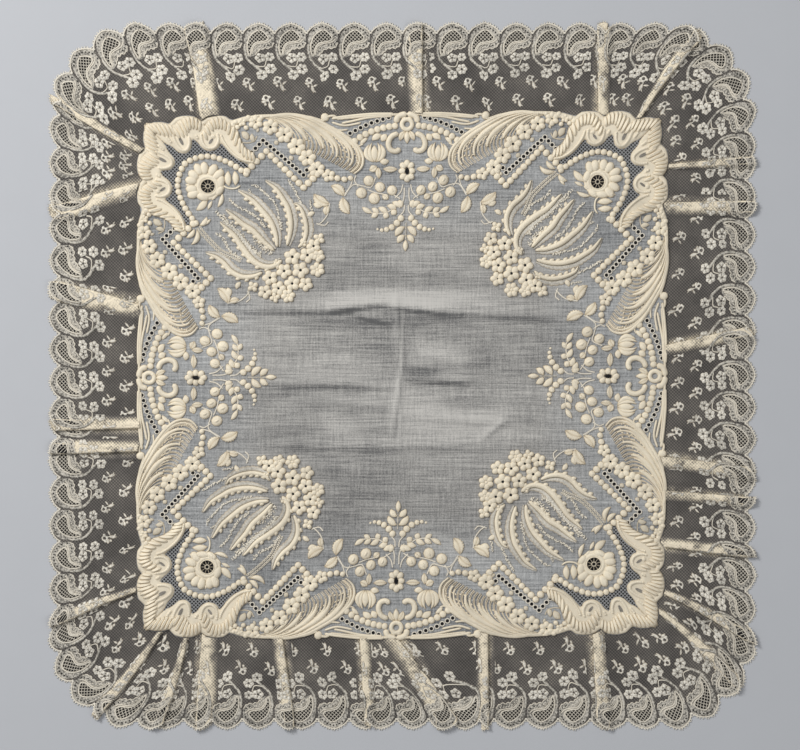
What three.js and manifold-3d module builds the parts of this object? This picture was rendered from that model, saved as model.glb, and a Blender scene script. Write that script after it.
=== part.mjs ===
// A whitework handkerchief with a deep lace edging, spread flat on a table.
// Two pieces are cut and sewn: a square of fine cambric with a corded, wavy edge, and one long strip of
// bobbin lace that runs round it, fanned out at the corners and pressed into knife pleats.
// Millimetres, +Z up, +Y towards the top edge. The cloth lies on the plane z = 0.
import * as THREE from "three";
import { mergeVertices } from "three/addons/utils/BufferGeometryUtils.js";
import Module from "manifold-3d";

const wasm = await Module();
wasm.setup();

// The cambric panel
const PANEL_CORNER = 160; // from the middle to the panel's corner, along each axis
const PANEL_THICK = 1.2;
const GRID_HALF = 151; // the regular part of the cloth, inside the shaped edge
const GRID_STEP = 18;
const STITCH_FOOT = 0.5; // the corded forms start this high, inside the cloth

// The lace strip
const VALLEY_HALF = 215; // from the middle to the notches between the scallops
const ARC_CENTRE = 163; // the rounded corners turn about this point, near the panel's corner
const SCALLOP_PITCH = 20.2;
const SCALLOP_DEPTH = 8;
const LACE_THICK = 1.0;
const FAN_START = 128; // from here to the corner the lace fans out
const SEAM_GAP = 0.6; // between the panel's edge and the lace sewn to it

// Knife pleats
const LAYER_PITCH = LACE_THICK + 0.3;
const BEND_REACH = 0.65; // a fold's edge runs this far past its straight part
const SLOPE_RUN = 3.4; // over this the top layer comes down again
const KNEE = 0.35; // the top layer starts down this far past the fold under it
const LEAST_SLOPE = 1.5; // the top layer's slope is never shorter than this
const FOOT_SHARE = 0.9; // the lace's depth is drawn in two bands, which meet here
const SCALLOP_BOW = [0.045, 0.19, 0.5, 0.81, 0.955]; // the shares of a scallop's width that shape it

// Tolerances
const TINY = 1e-9; // two numbers this near are the same
const RIM_SLACK = 1e-6; // a grid point this near the rim is on it
const SAME_PLACE = 1e-3; // rows of points are at least this far apart
const END_ROOM = 0.01; // the share of a stretch, at each end, in which no seam point is added

const ARC_RADIUS = VALLEY_HALF - ARC_CENTRE;
const HALF_SIDE_RUN = ARC_CENTRE + (ARC_RADIUS * Math.PI) / 4;
const SIDE_RUN = 2 * HALF_SIDE_RUN;
const ROUND = 4 * SIDE_RUN;
const FAN_RATIO = (PANEL_CORNER - FAN_START) / (HALF_SIDE_RUN - FAN_START);

// The panel's edge from the middle of a side to the corner, as bows between two feet.
// "along" runs along the side, "out" is the distance from the middle of the panel.
const EDGE_START = { along: 0, out: 165.6 };
const EDGE_BOWS = [
  { bow: "swag", along: 42, out: 163, rise: 0.4, steps: 3 },
  { bow: "knob", along: 51, out: 161.8, rise: 2.6, steps: 4 },
  { bow: "shell", along: 107, out: 162.4, rise: 3.6, steps: 7 },
  { bow: "rope lobe", along: 126, out: 161.6, rise: 3.6, steps: 5 },
  { bow: "rope lobe", along: 145.4, out: 160.4, rise: 4.6, steps: 5 },
  { bow: "corner lobe", along: PANEL_CORNER, out: PANEL_CORNER, rise: 1.4, steps: 3 },
];

// The pressed pleats: "at" is the distance along the outer line from the middle of the side, to the
// right on the top edge and so on clockwise; "lean" is how much further on the pleat is at the panel;
// "outer" and "inner" are half its width there; "lay" is the side the flap lies to.
const PLEATS = [
  { side: "top", at: -131, lean: 9, outer: 6.0, inner: 1.5, lay: 1 },
  { side: "top", at: 8.5, lean: 0, outer: 4.2, inner: 1.4, lay: -1 },
  { side: "top", at: 126, lean: -3, outer: 3.4, inner: 1.3, lay: 1 },
  { side: "top", at: 184, lean: -9, outer: 3.0, inner: 1.1, lay: -1 },
  { side: "right", at: -136, lean: 0, outer: 2.0, inner: 1.3, lay: 1 },
  { side: "right", at: -107, lean: 0, outer: 3.4, inner: 1.3, lay: 1 },
  { side: "right", at: -28, lean: 10, outer: 2.6, inner: 1.3, lay: 1 },
  { side: "right", at: 60, lean: -7, outer: 3.2, inner: 1.3, lay: 1 },
  { side: "right", at: 78, lean: -3, outer: 2.0, inner: 1.2, lay: 1 },
  { side: "right", at: 112, lean: -3, outer: 2.1, inner: 1.3, lay: -1 },
  { side: "right", at: 163, lean: -8, outer: 3.2, inner: 1.1, lay: -1 },
  { side: "right", at: 191, lean: -10, outer: 3.4, inner: 1.1, lay: 1 },
  { side: "bottom", at: -126, lean: 4, outer: 3.8, inner: 1.3, lay: -1 },
  { side: "bottom", at: -52, lean: -3, outer: 2.4, inner: 1.3, lay: 1 },
  { side: "bottom", at: -28, lean: 28, outer: 6.4, inner: 1.4, lay: 1 },
  { side: "bottom", at: 22, lean: 0, outer: 2.1, inner: 1.3, lay: -1 },
  { side: "bottom", at: 71, lean: 3, outer: 2.8, inner: 1.3, lay: 1 },
  { side: "bottom", at: 125, lean: -2, outer: 5.4, inner: 1.4, lay: -1 },
  { side: "bottom", at: 152, lean: -9, outer: 2.4, inner: 1.1, lay: 1 },
  { side: "bottom", at: 190, lean: -9, outer: 2.6, inner: 1.1, lay: 1 },
  { side: "left", at: -154, lean: 7, outer: 2.4, inner: 1.1, lay: 1 },
  { side: "left", at: -46, lean: 0, outer: 3.2, inner: 1.3, lay: 1 },
  { side: "left", at: -31, lean: 0, outer: 3.4, inner: 1.3, lay: 1 },
  { side: "left", at: 54, lean: -9, outer: 5.6, inner: 1.4, lay: -1 },
  { side: "left", at: 104, lean: 18, outer: 4.4, inner: 1.4, lay: -1 },
  { side: "left", at: 171, lean: -7, outer: 2.6, inner: 1.1, lay: 1 },
];
const SIDES = ["top", "right", "bottom", "left"];

// Soft creases where the handkerchief was folded in four, as ridges in the cambric.
const CREASES = [
  { from: [-90, 41], to: [90, 39], height: 1.5, spread: 5 },
  { from: [-3, 52], to: [-5, -38], height: 1.2, spread: 4.5 },
  { from: [-2, -5], to: [48, -5], height: 1.1, spread: 4 },
  { from: [-60, -44], to: [75, -45], height: 0.9, spread: 5 },
];
const CREASED_COLUMNS = [-4];
const CREASED_ROWS = [40, -5, -44];
const CREASE_OFFSETS = [-6, -2, 2, 6]; // grid lines beside a crease's own line
const CREASE_ROOM = 10; // no other grid line comes nearer than this

// Padded cords of the embroidery, for one half of one side. Each runs through its points.
const CORDS = [
  {
    name: "first rope lobe", half: 3.3, high: 1.6,
    path: [[99, 138.5], [104.5, 149], [109.6, 156.2], [116.5, 160.2], [121.2, 156.8], [121.4, 149.4]],
  },
  {
    name: "second rope lobe", half: 3.3, high: 1.6,
    path: [[122.8, 150.5], [127.6, 157.2], [135.6, 160.2], [140.4, 156], [138, 147.6]],
  },
  { name: "corner rope lobe", half: 3.3, high: 1.6, path: [[139.4, 149.4], [146.4, 155], [154.6, 155.6]] },
  {
    name: "shell edge", half: 1.6, high: 1.0,
    path: [
      [96, 161.6], [80, 163.2], [66, 161.6], [52, 156.8], [40, 149], [32.4, 141], [30.4, 134], [33, 127.5],
    ],
  },
  {
    name: "outer plume", half: 2.2, high: 1.1,
    path: [[76, 81.5], [68, 88], [64.8, 98], [66.6, 109.5], [77, 122.5]],
  },
  {
    name: "inner plume", half: 2.2, high: 1.1,
    path: [[79, 85], [74.4, 91], [77, 99.5], [86, 107], [98, 115]],
  },
];
const CORD_END = 0.45; // a cord is drawn in to this share of its width at its ends
const CORD_SHOULDER = 0.62; // its top is flat out to this share of its width

const lerp = (a, b, t) => a + (b - a) * t;

// Turns a point of the top side into the same point of another side, clockwise.
function turned([x, y], side) {
  if (side === 1) return [y, -x];
  if (side === 2) return [-x, -y];
  if (side === 3) return [-y, x];
  return [x, y];
}

// One half of a side's edge as points [along, out], from the middle of the side to the corner.
function halfEdge() {
  const points = [[EDGE_START.along, EDGE_START.out]];
  let foot = EDGE_START;
  for (const bow of EDGE_BOWS) {
    for (let i = 1; i <= bow.steps; i++) {
      const t = i / bow.steps;
      const lift = bow.rise * Math.sqrt(1 - (2 * t - 1) ** 2);
      points.push([lerp(foot.along, bow.along, t), lerp(foot.out, bow.out, t) + lift]);
    }
    foot = bow;
  }
  return points;
}
const HALF_EDGE = halfEdge();

// The edge's distance out at a place along the side, on the same straight steps as the solid.
function edgeOut(along) {
  const t = Math.min(Math.abs(along), PANEL_CORNER);
  const i = Math.max(1, HALF_EDGE.findIndex((p) => p[0] >= t - TINY));
  const [a, b] = [HALF_EDGE[i - 1], HALF_EDGE[i]];
  return lerp(a[1], b[1], (t - a[0]) / (b[0] - a[0]));
}

// The panel's edge all round, clockwise from the top left corner.
function panelOutline() {
  const half = HALF_EDGE.slice(0, -1);
  const mirrored = half.slice(1).map(([x, y]) => [-x, y]).reverse();
  const side = [[-PANEL_CORNER, PANEL_CORNER], ...mirrored, ...half];
  return [0, 1, 2, 3].flatMap((turn) => side.map((p) => turned(p, turn)));
}

// A sheet of cloth is points with a top and a bottom, joined in patches to one closed skin.
class Sheet {
  constructor() {
    this.corners = [];
    this.faces = [];
  }

  add(top, bottom) {
    this.corners.push(top, bottom);
    return this.corners.length / 2 - 1;
  }

  // One patch of the sheet, anticlockwise seen from above.
  patch(a, b, c) {
    this.faces.push([2 * a, 2 * b, 2 * c], [2 * c + 1, 2 * b + 1, 2 * a + 1]);
  }

  // A cut edge of the sheet, with the cloth on the left on the way from a to b.
  rim(a, b) {
    this.faces.push([2 * a, 2 * a + 1, 2 * b + 1], [2 * a, 2 * b + 1, 2 * b]);
  }

  // Fills between an inner and an outer closed row. Both run clockwise, by keys from 0 up to "full".
  band(inner, outer, full) {
    let i = 0;
    let o = 0;
    const keyOf = (row, k) => (k < row.length ? row[k].key : full);
    while (i < inner.length || o < outer.length) {
      const a = inner[i % inner.length].id;
      const b = outer[o % outer.length].id;
      const stepInner = o >= outer.length || (i < inner.length && keyOf(inner, i + 1) <= keyOf(outer, o + 1));
      if (stepInner) {
        i += 1;
        this.patch(a, inner[i % inner.length].id, b);
      } else {
        o += 1;
        this.patch(a, outer[o % outer.length].id, b);
      }
    }
  }

  geometry() {
    const geometry = new THREE.BufferGeometry();
    geometry.setAttribute("position", new THREE.Float32BufferAttribute(this.corners.flat(), 3));
    geometry.setIndex(this.faces.flat());
    return geometry;
  }
}

function solidFrom(geometry) {
  const merged = mergeVertices(geometry);
  const vertProperties = merged.attributes.position.array;
  const triVerts = new Uint32Array(merged.index.array);
  return new wasm.Manifold(new wasm.Mesh({ numProp: 3, vertProperties, triVerts }));
}

function geometryFrom(solid) {
  const mesh = solid.getMesh();
  const geometry = new THREE.BufferGeometry();
  geometry.setAttribute("position", new THREE.BufferAttribute(mesh.vertProperties, 3));
  geometry.setIndex(new THREE.BufferAttribute(mesh.triVerts, 1));
  return geometry;
}

// How far the creases lift the cambric at a place.
function creaseLift(x, y) {
  let lift = 0;
  for (const { from, to, height, spread } of CREASES) {
    const [dx, dy] = [to[0] - from[0], to[1] - from[1]];
    const share = ((x - from[0]) * dx + (y - from[1]) * dy) / (dx * dx + dy * dy);
    const t = THREE.MathUtils.clamp(share, 0, 1);
    const away = Math.hypot(x - from[0] - t * dx, y - from[1] - t * dy);
    lift += height * Math.exp(-((away / spread) ** 2)) * Math.sqrt(Math.sin(Math.PI * t));
  }
  return lift;
}

// Grid lines across the cloth, with closer ones beside its creases.
function gridLines(creased) {
  const count = Math.round((2 * GRID_HALF) / GRID_STEP);
  const even = Array.from({ length: count + 1 }, (_, i) => lerp(-GRID_HALF, GRID_HALF, i / count));
  const kept = even.filter((at) => creased.every((c) => Math.abs(at - c) > CREASE_ROOM));
  const close = creased.flatMap((c) => CREASE_OFFSETS.map((offset) => c + offset));
  return [...kept, ...close].sort((a, b) => a - b);
}

function cambricSheet() {
  const sheet = new Sheet();
  const xs = gridLines(CREASED_COLUMNS);
  const ys = gridLines(CREASED_ROWS);
  // The key of a place is its turn about the middle, clockwise from the top left corner.
  const keyed = (x, y, id) => {
    const turn = Math.atan2(x, y) + Math.PI / 4 + TINY;
    return { x, y, id, key: (turn + 2 * Math.PI) % (2 * Math.PI) };
  };
  const place = (x, y) => {
    const z = creaseLift(x, y);
    return keyed(x, y, sheet.add([x, y, z + PANEL_THICK], [x, y, z]));
  };
  const grid = ys.map((y) => xs.map((x) => place(x, y)));
  for (let j = 0; j + 1 < ys.length; j++) {
    for (let i = 0; i + 1 < xs.length; i++) {
      sheet.patch(grid[j][i].id, grid[j][i + 1].id, grid[j + 1][i + 1].id);
      sheet.patch(grid[j][i].id, grid[j + 1][i + 1].id, grid[j + 1][i].id);
    }
  }
  const onRim = (p) => Math.max(Math.abs(p.x), Math.abs(p.y)) > GRID_HALF - RIM_SLACK;
  const inner = grid.flat().filter(onRim).sort((a, b) => a.key - b.key);
  const outer = panelOutline().map(([x, y]) => place(x, y));
  sheet.band(inner, outer, 2 * Math.PI);
  outer.forEach((p, i) => sheet.rim(outer[(i + 1) % outer.length].id, p.id));
  return solidFrom(sheet.geometry());
}

// A low padded cord along a path, with a rounded top, drawn in at its ends.
function cord({ half, high }, path) {
  const points = path.map(([x, y]) => new THREE.Vector2(x, y));
  const last = points.length - 1;
  const corners = [];
  const faces = [];
  points.forEach((p, i) => {
    const way = points[Math.min(last, i + 1)].clone().sub(points[Math.max(0, i - 1)]).normalize();
    const draw = i === 0 || i === last ? CORD_END : 1;
    const top = PANEL_THICK + high * draw + creaseLift(p.x, p.y);
    const add = (side, z) => {
      const across = half * draw * side;
      corners.push(p.x + way.y * across, p.y - way.x * across, z);
    };
    add(-1, STITCH_FOOT);
    add(1, STITCH_FOOT);
    add(CORD_SHOULDER, top);
    add(-CORD_SHOULDER, top);
  });
  for (let i = 0; i < last; i++) {
    for (let k = 0; k < 4; k++) {
      const a = 4 * i + k;
      const b = 4 * i + ((k + 1) % 4);
      faces.push(a, b + 4, b, a, a + 4, b + 4);
    }
  }
  const end = 4 * last;
  faces.push(0, 1, 2, 0, 2, 3, end, end + 2, end + 1, end, end + 3, end + 2);
  const geometry = new THREE.BufferGeometry();
  geometry.setAttribute("position", new THREE.Float32BufferAttribute(corners, 3));
  geometry.setIndex(faces);
  return solidFrom(geometry);
}

// The cords stand on both halves of all four sides.
function cambricPanel() {
  const forms = [cambricSheet()];
  for (const form of CORDS) {
    for (const side of [0, 1, 2, 3]) {
      for (const flip of [1, -1]) {
        const path = form.path.map(([x, y]) => turned([x * flip, y], side));
        forms.push(cord(form, path));
      }
    }
  }
  return geometryFrom(wasm.Manifold.union(forms));
}

// Where the line of the lace's notches is, a distance along it from the middle of a side.
function notchLine(along) {
  const past = Math.abs(along) - ARC_CENTRE;
  if (past <= 0) return [along, VALLEY_HALF];
  const turn = past / ARC_RADIUS;
  const x = ARC_CENTRE + ARC_RADIUS * Math.sin(turn);
  return [Math.sign(along) * x, ARC_CENTRE + ARC_RADIUS * Math.cos(turn)];
}

// The place on the panel's side that a place on the notch line is sewn to.
function sewnAlong(along) {
  const past = Math.abs(along) - FAN_START;
  return past <= 0 ? along : Math.sign(along) * (FAN_START + past * FAN_RATIO);
}

// A point of the lace in plan: "place" runs clockwise along the notch line from the middle of the top,
// and "share" is 0 at the seam and 1 at the notches.
function lacePoint(place, share) {
  const round = (place + HALF_SIDE_RUN + ROUND) % ROUND;
  const side = Math.floor(round / SIDE_RUN);
  const along = round - side * SIDE_RUN - HALF_SIDE_RUN;
  const outer = notchLine(along);
  const sewn = sewnAlong(along);
  const pastCorner = Math.max(0, Math.abs(sewn) + SEAM_GAP - PANEL_CORNER);
  const inner = [sewn + Math.sign(sewn) * pastCorner, edgeOut(sewn) + SEAM_GAP];
  return turned([lerp(inner[0], outer[0], share), lerp(inner[1], outer[1], share)], side);
}

// The centre line of a pleat in section, as [across, up], at a share of the lace's depth.
function pleatLine(pleat, share) {
  const fan = Math.abs(pleat.at) > FAN_START ? lerp(FAN_RATIO, 1, share) : 1;
  const reach = (pleat.outer + SLOPE_RUN) * fan;
  const half = Math.min(lerp(pleat.inner, pleat.outer, share), reach - LEAST_SLOPE);
  const straight = half - BEND_REACH;
  const low = LACE_THICK / 2;
  const line = [
    [-reach, low],
    [straight, low],
    [half, low + LAYER_PITCH / 2],
    [straight, low + LAYER_PITCH],
    [-straight, low + LAYER_PITCH],
    [-half, low + 1.5 * LAYER_PITCH],
    [-straight, low + 2 * LAYER_PITCH],
    [half + KNEE, low + 2 * LAYER_PITCH],
    [reach, low],
  ];
  const laid = pleat.lay > 0 ? line : line.map(([across, up]) => [-across, up]).reverse();
  return { laid, fan };
}

// The top and bottom faces of the folded lace beside that line, as places round the seam and heights.
function pleatFaces(pleat, share) {
  const { laid, fan } = pleatLine(pleat, share);
  const centre = pleat.place + pleat.lean * (1 - share);
  const way = (i) => {
    const [dx, dz] = [laid[i + 1][0] - laid[i][0], laid[i + 1][1] - laid[i][1]];
    const long = Math.hypot(dx, dz);
    return [dx / long, dz / long];
  };
  return laid.map(([across, up], i) => {
    const inside = i > 0 && i < laid.length - 1;
    const before = inside ? way(i - 1) : [1, 0];
    const after = inside ? way(i) : [1, 0];
    const normal = [-before[1] - after[1], before[0] + after[0]];
    const reach = LACE_THICK / 2 / Math.hypot(...normal);
    const offset = [normal[0] * reach, normal[1] * reach];
    return {
      top: [centre + (across + offset[0]) / fan, up + offset[1]],
      bottom: [centre + (across - offset[0]) / fan, up - offset[1]],
    };
  });
}

// The pleats in their order round the lace, each with the strip lengths at which it starts and bends.
function laidPleats() {
  const placed = PLEATS.map((pleat) => {
    const place = SIDES.indexOf(pleat.side) * SIDE_RUN + pleat.at;
    return { ...pleat, place: (place + ROUND) % ROUND };
  });
  placed.sort((a, b) => a.place - b.place);
  let length = 0;
  let place = 0;
  for (const pleat of placed) {
    const reach = pleat.outer + SLOPE_RUN;
    const { laid } = pleatLine(pleat, 1);
    length += pleat.place - reach - place;
    pleat.bends = laid.map(([across, up], i) => {
      if (i > 0) length += Math.hypot(across - laid[i - 1][0], up - laid[i - 1][1]);
      return length;
    });
    place = pleat.place + reach;
  }
  return { pleats: placed, strip: length + ROUND - place };
}
const { pleats: LAID, strip: STRIP } = laidPleats();
const SCALLOPS = Math.round(STRIP / SCALLOP_PITCH);
const PITCH = STRIP / SCALLOPS;

// The lace's course at a share of its depth: the strip lengths of all bends, with the faces there.
function courseOf(share) {
  const flat = (length, place) => ({ length, top: [place, LACE_THICK], bottom: [place, 0] });
  const course = [flat(0, 0)];
  for (const pleat of LAID) {
    pleatFaces(pleat, share).forEach((faces, i) => course.push({ length: pleat.bends[i], ...faces }));
  }
  course.push(flat(STRIP, ROUND));
  return course;
}

// A row of points across the lace at the given strip lengths and a share of its depth. "bulge" is how
// much further out the row goes there, as a share of the depth.
function laceRow(sheet, lengths, share, bulge) {
  const course = courseOf(share);
  const sorted = [...lengths].sort((a, b) => a - b);
  const apart = sorted.filter((length, i) => i === 0 || length - sorted[i - 1] > SAME_PLACE);
  return apart.map((length) => {
    const k = Math.max(1, course.findIndex((bend) => bend.length >= length - TINY));
    const t = (length - course[k - 1].length) / (course[k].length - course[k - 1].length);
    const [top, bottom] = ["top", "bottom"].map((face) => {
      const place = lerp(course[k - 1][face][0], course[k][face][0], t);
      const up = lerp(course[k - 1][face][1], course[k][face][1], t);
      return [...lacePoint(place, share + bulge(length)), up];
    });
    return { id: sheet.add(top, bottom), key: length };
  });
}

// The strip lengths at which the seam passes the corners of the panel's edge.
function seamLengths() {
  const ends = [0, 1, 2, 3].flatMap((side) =>
    HALF_EDGE.flatMap(([along]) => {
      const past = along - FAN_START;
      const out = past <= 0 ? along : FAN_START + past / FAN_RATIO;
      return [side * SIDE_RUN + out, (side * SIDE_RUN - out + ROUND) % ROUND];
    }),
  );
  const course = courseOf(0);
  const lengths = [];
  for (let k = 1; k < course.length; k++) {
    const [a, b] = [course[k - 1], course[k]];
    for (const place of ends) {
      const t = (place - a.top[0]) / (b.top[0] - a.top[0]);
      if (t > END_ROOM && t < 1 - END_ROOM) lengths.push(lerp(a.length, b.length, t));
    }
  }
  return lengths;
}

function laceEdging() {
  const sheet = new Sheet();
  const bends = [0, ...LAID.flatMap((pleat) => pleat.bends)];
  const notches = Array.from({ length: SCALLOPS }, (_, i) => i * PITCH);
  const scallops = notches.flatMap((at) => SCALLOP_BOW.map((share) => at + share * PITCH));
  const depth = SCALLOP_DEPTH / (VALLEY_HALF - PANEL_CORNER);
  const round = (length) => {
    const across = 2 * ((length / PITCH) % 1) - 1;
    return depth * Math.sqrt(Math.max(0, 1 - across * across));
  };
  const flat = () => 0;
  const seam = laceRow(sheet, [...bends, ...seamLengths()], 0, flat);
  const foot = laceRow(sheet, [...bends, ...notches], FOOT_SHARE, flat);
  const edge = laceRow(sheet, [...bends, ...notches, ...scallops], 1, round);
  sheet.band(seam, foot, STRIP);
  sheet.band(foot, edge, STRIP);
  seam.forEach((p, i) => sheet.rim(p.id, seam[(i + 1) % seam.length].id));
  edge.forEach((p, i) => sheet.rim(edge[(i + 1) % edge.length].id, p.id));
  return sheet.geometry();
}

const cambric = new THREE.MeshStandardMaterial({ color: 0xe9e6dc, roughness: 0.9, metalness: 0 });
const laceThread = new THREE.MeshStandardMaterial({ color: 0xe3dac6, roughness: 0.95, metalness: 0 });

const panel = new THREE.Mesh(cambricPanel(), cambric);
panel.name = "cambric_panel";
const lace = new THREE.Mesh(laceEdging(), laceThread);
lace.name = "lace_edging";

// The origin is at the middle of the underside.
const handkerchief = new THREE.Group();
handkerchief.add(panel, lace);
const middle = new THREE.Box3().setFromObject(handkerchief).getCenter(new THREE.Vector3());
handkerchief.position.set(-middle.x, -middle.y, 0);

export default handkerchief;
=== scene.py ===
"""A whitework handkerchief of sheer cambric with a bobbin lace edging, spread flat and seen from above.

The forms are worked out in millimetres and turned to metres when a mesh is made. The embroidery is drawn
for one half of the top side and one corner, and is then repeated round the panel. The lace is drawn flat,
as a strip, and then laid round the panel with its pressed pleats.
"""

import math

import bpy
import numpy as np
from bpy.props import FloatProperty, FloatVectorProperty, IntProperty, PointerProperty
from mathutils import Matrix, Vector
from mathutils.geometry import delaunay_2d_cdt


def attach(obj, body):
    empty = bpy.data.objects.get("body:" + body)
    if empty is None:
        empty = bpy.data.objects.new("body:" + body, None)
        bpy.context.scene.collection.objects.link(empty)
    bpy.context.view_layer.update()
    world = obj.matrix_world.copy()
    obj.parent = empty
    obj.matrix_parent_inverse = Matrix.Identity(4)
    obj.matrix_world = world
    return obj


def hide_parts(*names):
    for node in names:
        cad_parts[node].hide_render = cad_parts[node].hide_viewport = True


bl_info = {
    "name": "Lace handkerchief",
    "version": (1, 0, 0),
    "blender": (4, 5, 0),
    "location": "View3D > Sidebar > Handkerchief",
    "description": "Dresses a flat handkerchief with whitework embroidery and a pleated lace edging",
    "category": "Add Mesh",
}

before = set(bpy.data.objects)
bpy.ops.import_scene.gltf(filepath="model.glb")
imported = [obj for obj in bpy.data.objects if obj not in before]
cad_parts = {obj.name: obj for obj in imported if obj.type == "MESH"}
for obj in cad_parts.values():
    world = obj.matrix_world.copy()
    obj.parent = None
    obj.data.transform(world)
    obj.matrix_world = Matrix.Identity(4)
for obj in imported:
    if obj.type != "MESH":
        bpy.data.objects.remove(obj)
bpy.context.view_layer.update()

# The photograph's frame, in pixels, and its scale
PHOTO_WIDTH = 800
PHOTO_HEIGHT = 750
PHOTO_MIDDLE_X = 402.5  # where the middle of the handkerchief is
PHOTO_MIDDLE_Y = 376.0
MM_PER_PIXEL = 0.63

# The cambric panel, in millimetres
PANEL_CORNER = 160.0
EDGE_START = (0.0, 165.6)
EDGE_BOWS = (  # along, out, rise, steps
    (42.0, 163.0, 0.4, 3),
    (51.0, 161.8, 2.6, 4),
    (107.0, 162.4, 3.6, 7),
    (126.0, 161.6, 3.6, 5),
    (145.4, 160.4, 4.6, 5),
    (PANEL_CORNER, PANEL_CORNER, 1.4, 3),
)
CLOTH_Z = 0.35
LIGHT_Z = 0.12  # how far apart two things lie that touch
RIPPLE = 0.16  # the height of the cloth's small ripples
BORDER_START = 85.0  # where the cloth turns to its smoother border, from the middle
BORDER_SPREAD = 40.0
LEAN_REACH = 0.4  # how far apart the cloth's heights are compared

# The lace strip, in millimetres
VALLEY_HALF = 215.0
ARC_CENTRE = 163.0
SCALLOP_PITCH = 20.2
SCALLOP_DEPTH = 8.0
LACE_THICK = 1.0
FAN_START = 128.0
SEAM_GAP = 0.6
LAYER_PITCH = 1.3
BEND_REACH = 0.65
SLOPE_RUN = 3.4
KNEE = 0.35
LACE_DEPTH = 51.0  # from the panel's edge to the notches
LACE_FOOT = 0.9
LACE_Z = 0.22  # how high the thin lace lies
LACE_RISE = 0.8  # the thin layers lie closer than the solid's

ARC_RADIUS = VALLEY_HALF - ARC_CENTRE
HALF_SIDE_RUN = ARC_CENTRE + ARC_RADIUS * math.pi / 4
SIDE_RUN = 2 * HALF_SIDE_RUN
ROUND = 4 * SIDE_RUN
FAN_RATIO = (PANEL_CORNER - FAN_START) / (HALF_SIDE_RUN - FAN_START)

# The pressed pleats: side, place from the middle of the side, lean, half width outside and inside, lay
PLEATS = (
    (0, -131, 9, 6.0, 1.5, 1),
    (0, 8.5, 0, 4.2, 1.4, -1),
    (0, 126, -3, 3.4, 1.3, 1),
    (0, 184, -9, 3.0, 1.1, -1),
    (1, -136, 0, 2.0, 1.3, 1),
    (1, -107, 0, 3.4, 1.3, 1),
    (1, -28, 10, 2.6, 1.3, 1),
    (1, 60, -7, 3.2, 1.3, 1),
    (1, 78, -3, 2.0, 1.2, 1),
    (1, 112, -3, 2.1, 1.3, -1),
    (1, 163, -8, 3.2, 1.1, -1),
    (1, 191, -10, 3.4, 1.1, 1),
    (2, -126, 4, 3.8, 1.3, -1),
    (2, -52, -3, 2.4, 1.3, 1),
    (2, -28, 28, 6.4, 1.4, 1),
    (2, 22, 0, 2.1, 1.3, -1),
    (2, 71, 3, 2.8, 1.3, 1),
    (2, 125, -2, 5.4, 1.4, -1),
    (2, 152, -9, 2.4, 1.1, 1),
    (2, 190, -9, 2.6, 1.1, 1),
    (3, -154, 7, 2.4, 1.1, 1),
    (3, -46, 0, 3.2, 1.3, 1),
    (3, -31, 0, 3.4, 1.3, 1),
    (3, 54, -9, 5.6, 1.4, -1),
    (3, 104, 18, 4.4, 1.4, -1),
    (3, 171, -7, 2.6, 1.1, 1),
)

# Soft creases in the cambric: from, to, height, spread on the upper side, spread on the lower side
CREASES = (
    ((-100, 41), (-30, 41.4), 1.1, 5.0, 1.7),
    ((-48, 41), (-12, 45), 1.5, 5.0, 1.5),
    ((-16, 45), (38, 38), 1.6, 6.0, 1.5),
    ((30, 40), (100, 36), 1.1, 5.0, 1.7),
    ((-30, 38), (-6, 33), 1.2, 3.0, 1.4),
    ((-4, 52), (-1, 6), 1.1, 2.2, 2.2),
    ((-1, 8), (-6, -40), 1.0, 2.0, 2.0),
    ((0, -2), (44, -4.5), 1.4, 5.0, 1.2),
    ((-88, -5), (-4, -7), 0.9, 4.0, 1.6),
    ((-2, -25), (70, -30), 0.8, 6.0, 2.2),
    ((-95, -44), (70, -45), 0.8, 5.0, 2.2),
    ((50, -40), (66, -27), 0.8, 2.4, 1.6),
    ((-70, -16), (-10, -19), 0.6, 5.0, 3.0),
    ((-60, 70), (60, 68), 0.5, 9.0, 8.0),
)

# Paler and darker patches in the cambric: middle, half width, half height, how much paler
PATCHES = (
    (2, 49, 58, 5.5, 0.32),
    (-32, 35, 36, 5.5, -0.16),
    (22, 36, 24, 4.5, -0.16),
    (25, 14.5, 20, 8, 0.26),
    (11, 2, 11, 3.6, -0.3),
    (-36, 5, 34, 7, 0.1),
    (42, -16, 18, 3.6, -0.18),
    (36, -31, 32, 8, 0.2),
    (-76, -40, 24, 10, -0.1),
    (-0.6, 20, 0.9, 24, 0.4),
    (-2.4, -20, 0.9, 20, 0.3),
    (-38, -33, 10, 4, 0.14),
    (-20, 78, 12, 6, -0.1),
)

# How far the panel's landmarks lie from their even places: across and up, at left, middle and right
SHIFT_REACH = 125.0
SHIFT_END = 1.15  # where the shifts stop growing, in reaches
SHIFTS = (
    ((-1.4, -1.9), (2.9, -0.4), (1.6, 1.1)),
    ((-0.7, -1.1), (0.0, 0.0), (0.0, -0.1)),
    ((-1.7, 1.1), (-4.0, 0.4), (-0.7, 3.0)),
)


def lerp(a, b, t):
    return a + (b - a) * t


def unit(vectors):
    return vectors / np.maximum(np.linalg.norm(vectors, axis=-1, keepdims=True), 1e-9)


# Where the forms go


def half_edge():
    """One half of a side's edge, from the middle of the side to the corner, as in the solid."""
    points = [EDGE_START]
    foot = EDGE_START
    for along, out, rise, steps in EDGE_BOWS:
        for i in range(1, steps + 1):
            t = i / steps
            lift = rise * math.sqrt(max(0.0, 1 - (2 * t - 1) ** 2))
            points.append((lerp(foot[0], along, t), lerp(foot[1], out, t) + lift))
        foot = (along, out)
    return np.array(points)


HALF_EDGE = half_edge()


def turned(points, side):
    """Turns points of the top side to another side, clockwise."""
    x, y = points[..., 0], points[..., 1]
    turns = ((x, y), (y, -x), (-x, -y), (-y, x))
    return np.stack(turns[side], axis=-1)


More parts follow.
